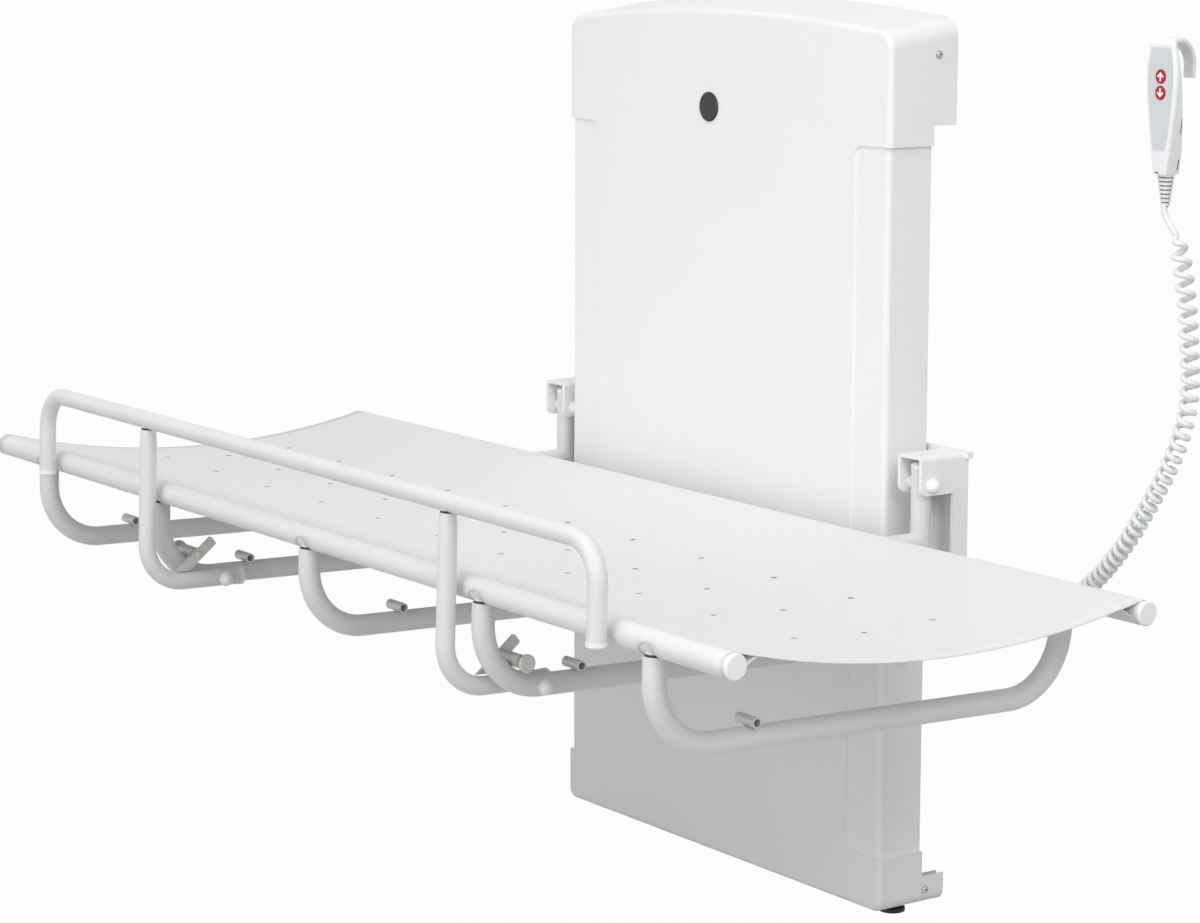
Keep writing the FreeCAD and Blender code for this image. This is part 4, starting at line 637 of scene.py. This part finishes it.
def clothFinish(name, facts, marks):
    # coated polyester: a plain weave under the coating, pressed flatter along the two weld strips, with
    # painted shade between its threads and on the drain holes' walls
    material, tree, shader = newMaterial(name, IOR=facts["ior"])
    flat = addNode(tree, "ShaderNodeUVMap", uv_map="flat").outputs["UV"]
    split = addNode(tree, "ShaderNodeSeparateXYZ", None, {"Vector": flat})
    pitch = 2 * math.pi * 1000 / facts["thread"]
    warpWave = addNode(tree, "ShaderNodeMath", {1: pitch}, {0: split.outputs["X"]}, operation="MULTIPLY")
    weftWave = addNode(tree, "ShaderNodeMath", {1: pitch}, {0: split.outputs["Y"]}, operation="MULTIPLY")
    warp = addNode(tree, "ShaderNodeMath", None, {0: warpWave.outputs[0]}, operation="SINE")
    weft = addNode(tree, "ShaderNodeMath", None, {0: weftWave.outputs[0]}, operation="SINE")
    woven = addNode(tree, "ShaderNodeMath", None, {0: warp.outputs[0], 1: weft.outputs[0]},
                    operation="MULTIPLY")
    fromEdge = addNode(tree, "ShaderNodeMath", {1: marks["length"] / 2}, {0: split.outputs["Y"]},
                       operation="SUBTRACT")
    fromMiddle = addNode(tree, "ShaderNodeMath", None, {0: fromEdge.outputs[0]}, operation="ABSOLUTE")
    halfSheet = marks["length"] / 2 - marks["sheetStart"]
    starts = [halfSheet - facts[side] for side in ("seamOuter", "seamInner")]
    outer, inner = (addNode(tree, "ShaderNodeMapRange",
                            {"From Min": start, "From Max": start + facts["seamEdge"]},
                            {"Value": fromMiddle.outputs[0]}) for start in starts)
    seam = addNode(tree, "ShaderNodeMath", None, {0: outer.outputs[0], 1: inner.outputs[0]},
                   operation="SUBTRACT")
    pressed = addNode(tree, "ShaderNodeMapRange", {"To Min": 1.0, "To Max": facts["seamPress"]},
                      {"Value": seam.outputs[0]})
    relief = addNode(tree, "ShaderNodeMath", None, {0: woven.outputs[0], 1: pressed.outputs[0]},
                     operation="MULTIPLY")
    height = addNode(tree, "ShaderNodeMath", {1: facts["seamSink"]},
                     {0: seam.outputs[0], 2: relief.outputs[0]}, operation="MULTIPLY_ADD")
    level = addNode(tree, "ShaderNodeMapRange", {"From Min": -1.0}, {"Value": relief.outputs[0]})
    # painted shade: the tint follows the weave's relief, darker in its low places between the threads
    tint = addNode(tree, "ShaderNodeMix", {6: linear(facts["valleyShade"]), 7: linear(facts["colour"])},
                   {0: level.outputs[0]}, data_type="RGBA")
    edge = addNode(tree, "ShaderNodeAttribute", attribute_name="cutEdge")   # 1 on the drain holes' walls
    # painted shade: the drain holes' walls turn towards the hole shade colour, for the shade inside the holes
    wall = addNode(tree, "ShaderNodeMapRange", {"From Min": facts["coreFrom"], "From Max": facts["coreFull"]},
                   {"Value": edge.outputs["Fac"]})
    shown = addNode(tree, "ShaderNodeMix", {7: linear(facts["core"])},
                    {0: wall.outputs[0], 6: tint.outputs[2]}, data_type="RGBA")
    tree.links.new(shown.outputs[2], shader.inputs["Base Color"])
    rough = addNode(tree, "ShaderNodeMapRange", {"To Min": facts["roughValley"], "To Max": facts["roughTop"]},
                    {"Value": level.outputs[0]})
    tree.links.new(rough.outputs[0], shader.inputs["Roughness"])
    bump = addNode(tree, "ShaderNodeBump", {"Strength": facts["bump"], "Distance": facts["bumpHeight"]},
                   {"Height": height.outputs[0]})
    tree.links.new(bump.outputs["Normal"], shader.inputs["Normal"])
    return material


reliefFacts = {
    "node": "strain_relief",
    "ribs": 8,
    "grooveMiddle": 0.80,     # share of the pitch below each rib's top edge
    "grooveHalf": 0.18,
    "grooveShade": "#85888a",      # painted shade in the slots between the ribs
}


def paintGrooveShade(material, facts):
    # painted shade in the grooves: they lie where the fraction of (top - z) / pitch is near its middle
    tree, shader = material.node_tree, material.node_tree.nodes["Principled BSDF"]
    low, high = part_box(facts["node"])
    pitch = (high.z - low.z) / facts["ribs"]
    where = addNode(tree, "ShaderNodeTexCoord").outputs["Object"]
    height = addNode(tree, "ShaderNodeSeparateXYZ", None, {"Vector": where}).outputs["Z"]
    ribs = addNode(tree, "ShaderNodeMath", {1: -1 / pitch, 2: high.z / pitch}, {0: height},
                   operation="MULTIPLY_ADD")
    share = addNode(tree, "ShaderNodeMath", None, {0: ribs.outputs[0]}, operation="FRACT")
    grooveShade = addNode(tree, "ShaderNodeMath", {1: facts["grooveMiddle"], 2: facts["grooveHalf"]},
                     {0: share.outputs[0]}, operation="COMPARE")
    plain = shader.inputs["Base Color"].links[0].from_socket
    tint = addNode(tree, "ShaderNodeMix", {7: linear(facts["grooveShade"])}, {0: grooveShade.outputs[0], 6: plain},
                   data_type="RGBA")
    tree.links.new(tint.outputs[2], shader.inputs["Base Color"])


palette = {name: coatedFinish(name, facts) for name, facts in finishes.items()}
# the strain relief's sleeve: the cord's finish with painted shade in its grooves
palette["reliefSleeve"] = coatedFinish("reliefSleeve", finishes["cordSheath"])
paintGrooveShade(palette["reliefSleeve"], reliefFacts)
palette.update({name: metalFinish(name, facts) for name, facts in metals.items()})
palette["slingCloth"] = clothFinish("slingCloth", weave, slingMarks)

slotFinish = {
    "frame_steel": "frameCoat",
    "cover_white": "coverSheet",
    "screw_steel": "screwSteel",
    "badge_dark": "badgeGloss",
    "box_dark": "boxShell",
    "lift_aluminium": "liftAluminium",
    "bracket_metal": "bracketCoat",
    "tube_white": "powderCoat",
    "cap_white": "mouldedWhite",
    "fitting_steel": "fittingSteel",
    "sling_fabric": "slingCloth",
    "rubber_black": "footRubber",
    "handset_light": "handsetShell",
    "handset_grey": "handsetInlay",
    "button_red": "keyRed",
    "cord_skin": "cordSheath",
}


def dress(piece, finish):
    piece.data.materials.clear()
    piece.data.materials.append(palette[finish])


for part in frame["record"]["subparts"]:
    dress(nodes[part["node"]], slotFinish[part["material_slot"]])
dress(nodes[reliefFacts["node"]], "reliefSleeve")
dress(curlyCord, "cordSheath")
dress(slingCloth, "slingCloth")
# painted shade: the slot patches and the joint bands wear the dark case finish
for piece in slotShadePatches + gapShadeBands:
    dress(piece, "boxShell")
dress(upArrow, "arrowWhite")
dress(downArrow, "arrowWhite")
print("materials set,", len(palette), "finishes")


# Stage: a pale floor and soft light from above the front.
stageFacts = {
    "floorSize": 400.0,
    "floorDrop": 0.016,       # room for the levelling feet to come out
    "floorColour": "#b6b6b6",
    "floorRough": 0.9,
    "floorSeen": 0.97,        # share of plain white that the camera sees, the rest keeps the shadow
    "worldLight": 0.56,
    "lamps": [
        {"name": "overheadLamp", "place": (0.6, -3.2, 4.2),
         "aim": (0.0, -0.4, 0.1), "size": 3.2, "watts": 66},
        {"name": "frontLamp", "place": (1.6, -6.5, 0.9),
         "aim": (0.0, -0.3, -0.1), "size": 4.0, "watts": 88},
        {"name": "sideLamp", "place": (4.1, -1.4, 2.8),
         "aim": (0.0, -0.3, 0.1), "size": 2.6, "watts": 66},
    ],
}


def seenByEye(tree):
    # 1 for rays that show the background: straight from the camera, mirrored or through glass
    path = addNode(tree, "ShaderNodeLightPath")
    straight, mirrored, passed = (path.outputs["Is %s Ray" % kind]
                                  for kind in ("Camera", "Glossy", "Transmission"))
    either = addNode(tree, "ShaderNodeMath", None, {0: straight, 1: mirrored}, operation="MAXIMUM")
    seen = addNode(tree, "ShaderNodeMath", None, {0: either.outputs[0], 1: passed}, operation="MAXIMUM")
    return seen.outputs[0]


def makeStage(facts):
    half, low = facts["floorSize"] / 2, cadLow.z - facts["floorDrop"]
    corners = [(-half, -half, low), (half, -half, low), (half, half, low), (-half, half, low)]
    floor = newPiece("floor", corners, [(0, 1, 2, 3)], smooth=False)
    material, tree, shader = newMaterial("paleFloor", Roughness=facts["floorRough"])
    shader.inputs["Base Color"].default_value = linear(facts["floorColour"])
    white = addNode(tree, "ShaderNodeEmission", {"Color": (1, 1, 1, 1), "Strength": 1.0})
    share = addNode(tree, "ShaderNodeMath", {1: facts["floorSeen"]}, {0: seenByEye(tree)},
                    operation="MULTIPLY")
    mixed = addNode(tree, "ShaderNodeMixShader", None,
                    {0: share.outputs[0], 1: shader.outputs[0], 2: white.outputs[0]})
    tree.links.new(mixed.outputs[0], tree.nodes["Material Output"].inputs["Surface"])
    floor.data.materials.append(material)
    world = bpy.data.worlds.new("studioWorld")
    bpy.context.scene.world = world
    world.use_nodes = True
    tree = world.node_tree
    light = tree.nodes["Background"]
    light.inputs["Color"].default_value = (1, 1, 1, 1)
    light.inputs["Strength"].default_value = facts["worldLight"]
    seen = addNode(tree, "ShaderNodeBackground", {"Color": (1, 1, 1, 1), "Strength": 1.0})
    both = addNode(tree, "ShaderNodeMixShader", None,
                   {0: seenByEye(tree), 1: light.outputs[0], 2: seen.outputs[0]})
    tree.links.new(both.outputs[0], tree.nodes["World Output"].inputs["Surface"])
    for lamp in facts["lamps"]:
        data = bpy.data.lights.new(lamp["name"], "AREA")
        data.shape = "DISK"
        data.size = lamp["size"]
        data.energy = lamp["watts"]
        holder = bpy.data.objects.new(lamp["name"], data)
        bpy.context.collection.objects.link(holder)
        holder.location = lamp["place"]
        beam = Vector(lamp["aim"]) - Vector(lamp["place"])
        holder.rotation_euler = beam.to_track_quat("-Z", "Y").to_euler()


makeStage(stageFacts)
print("stage lit")
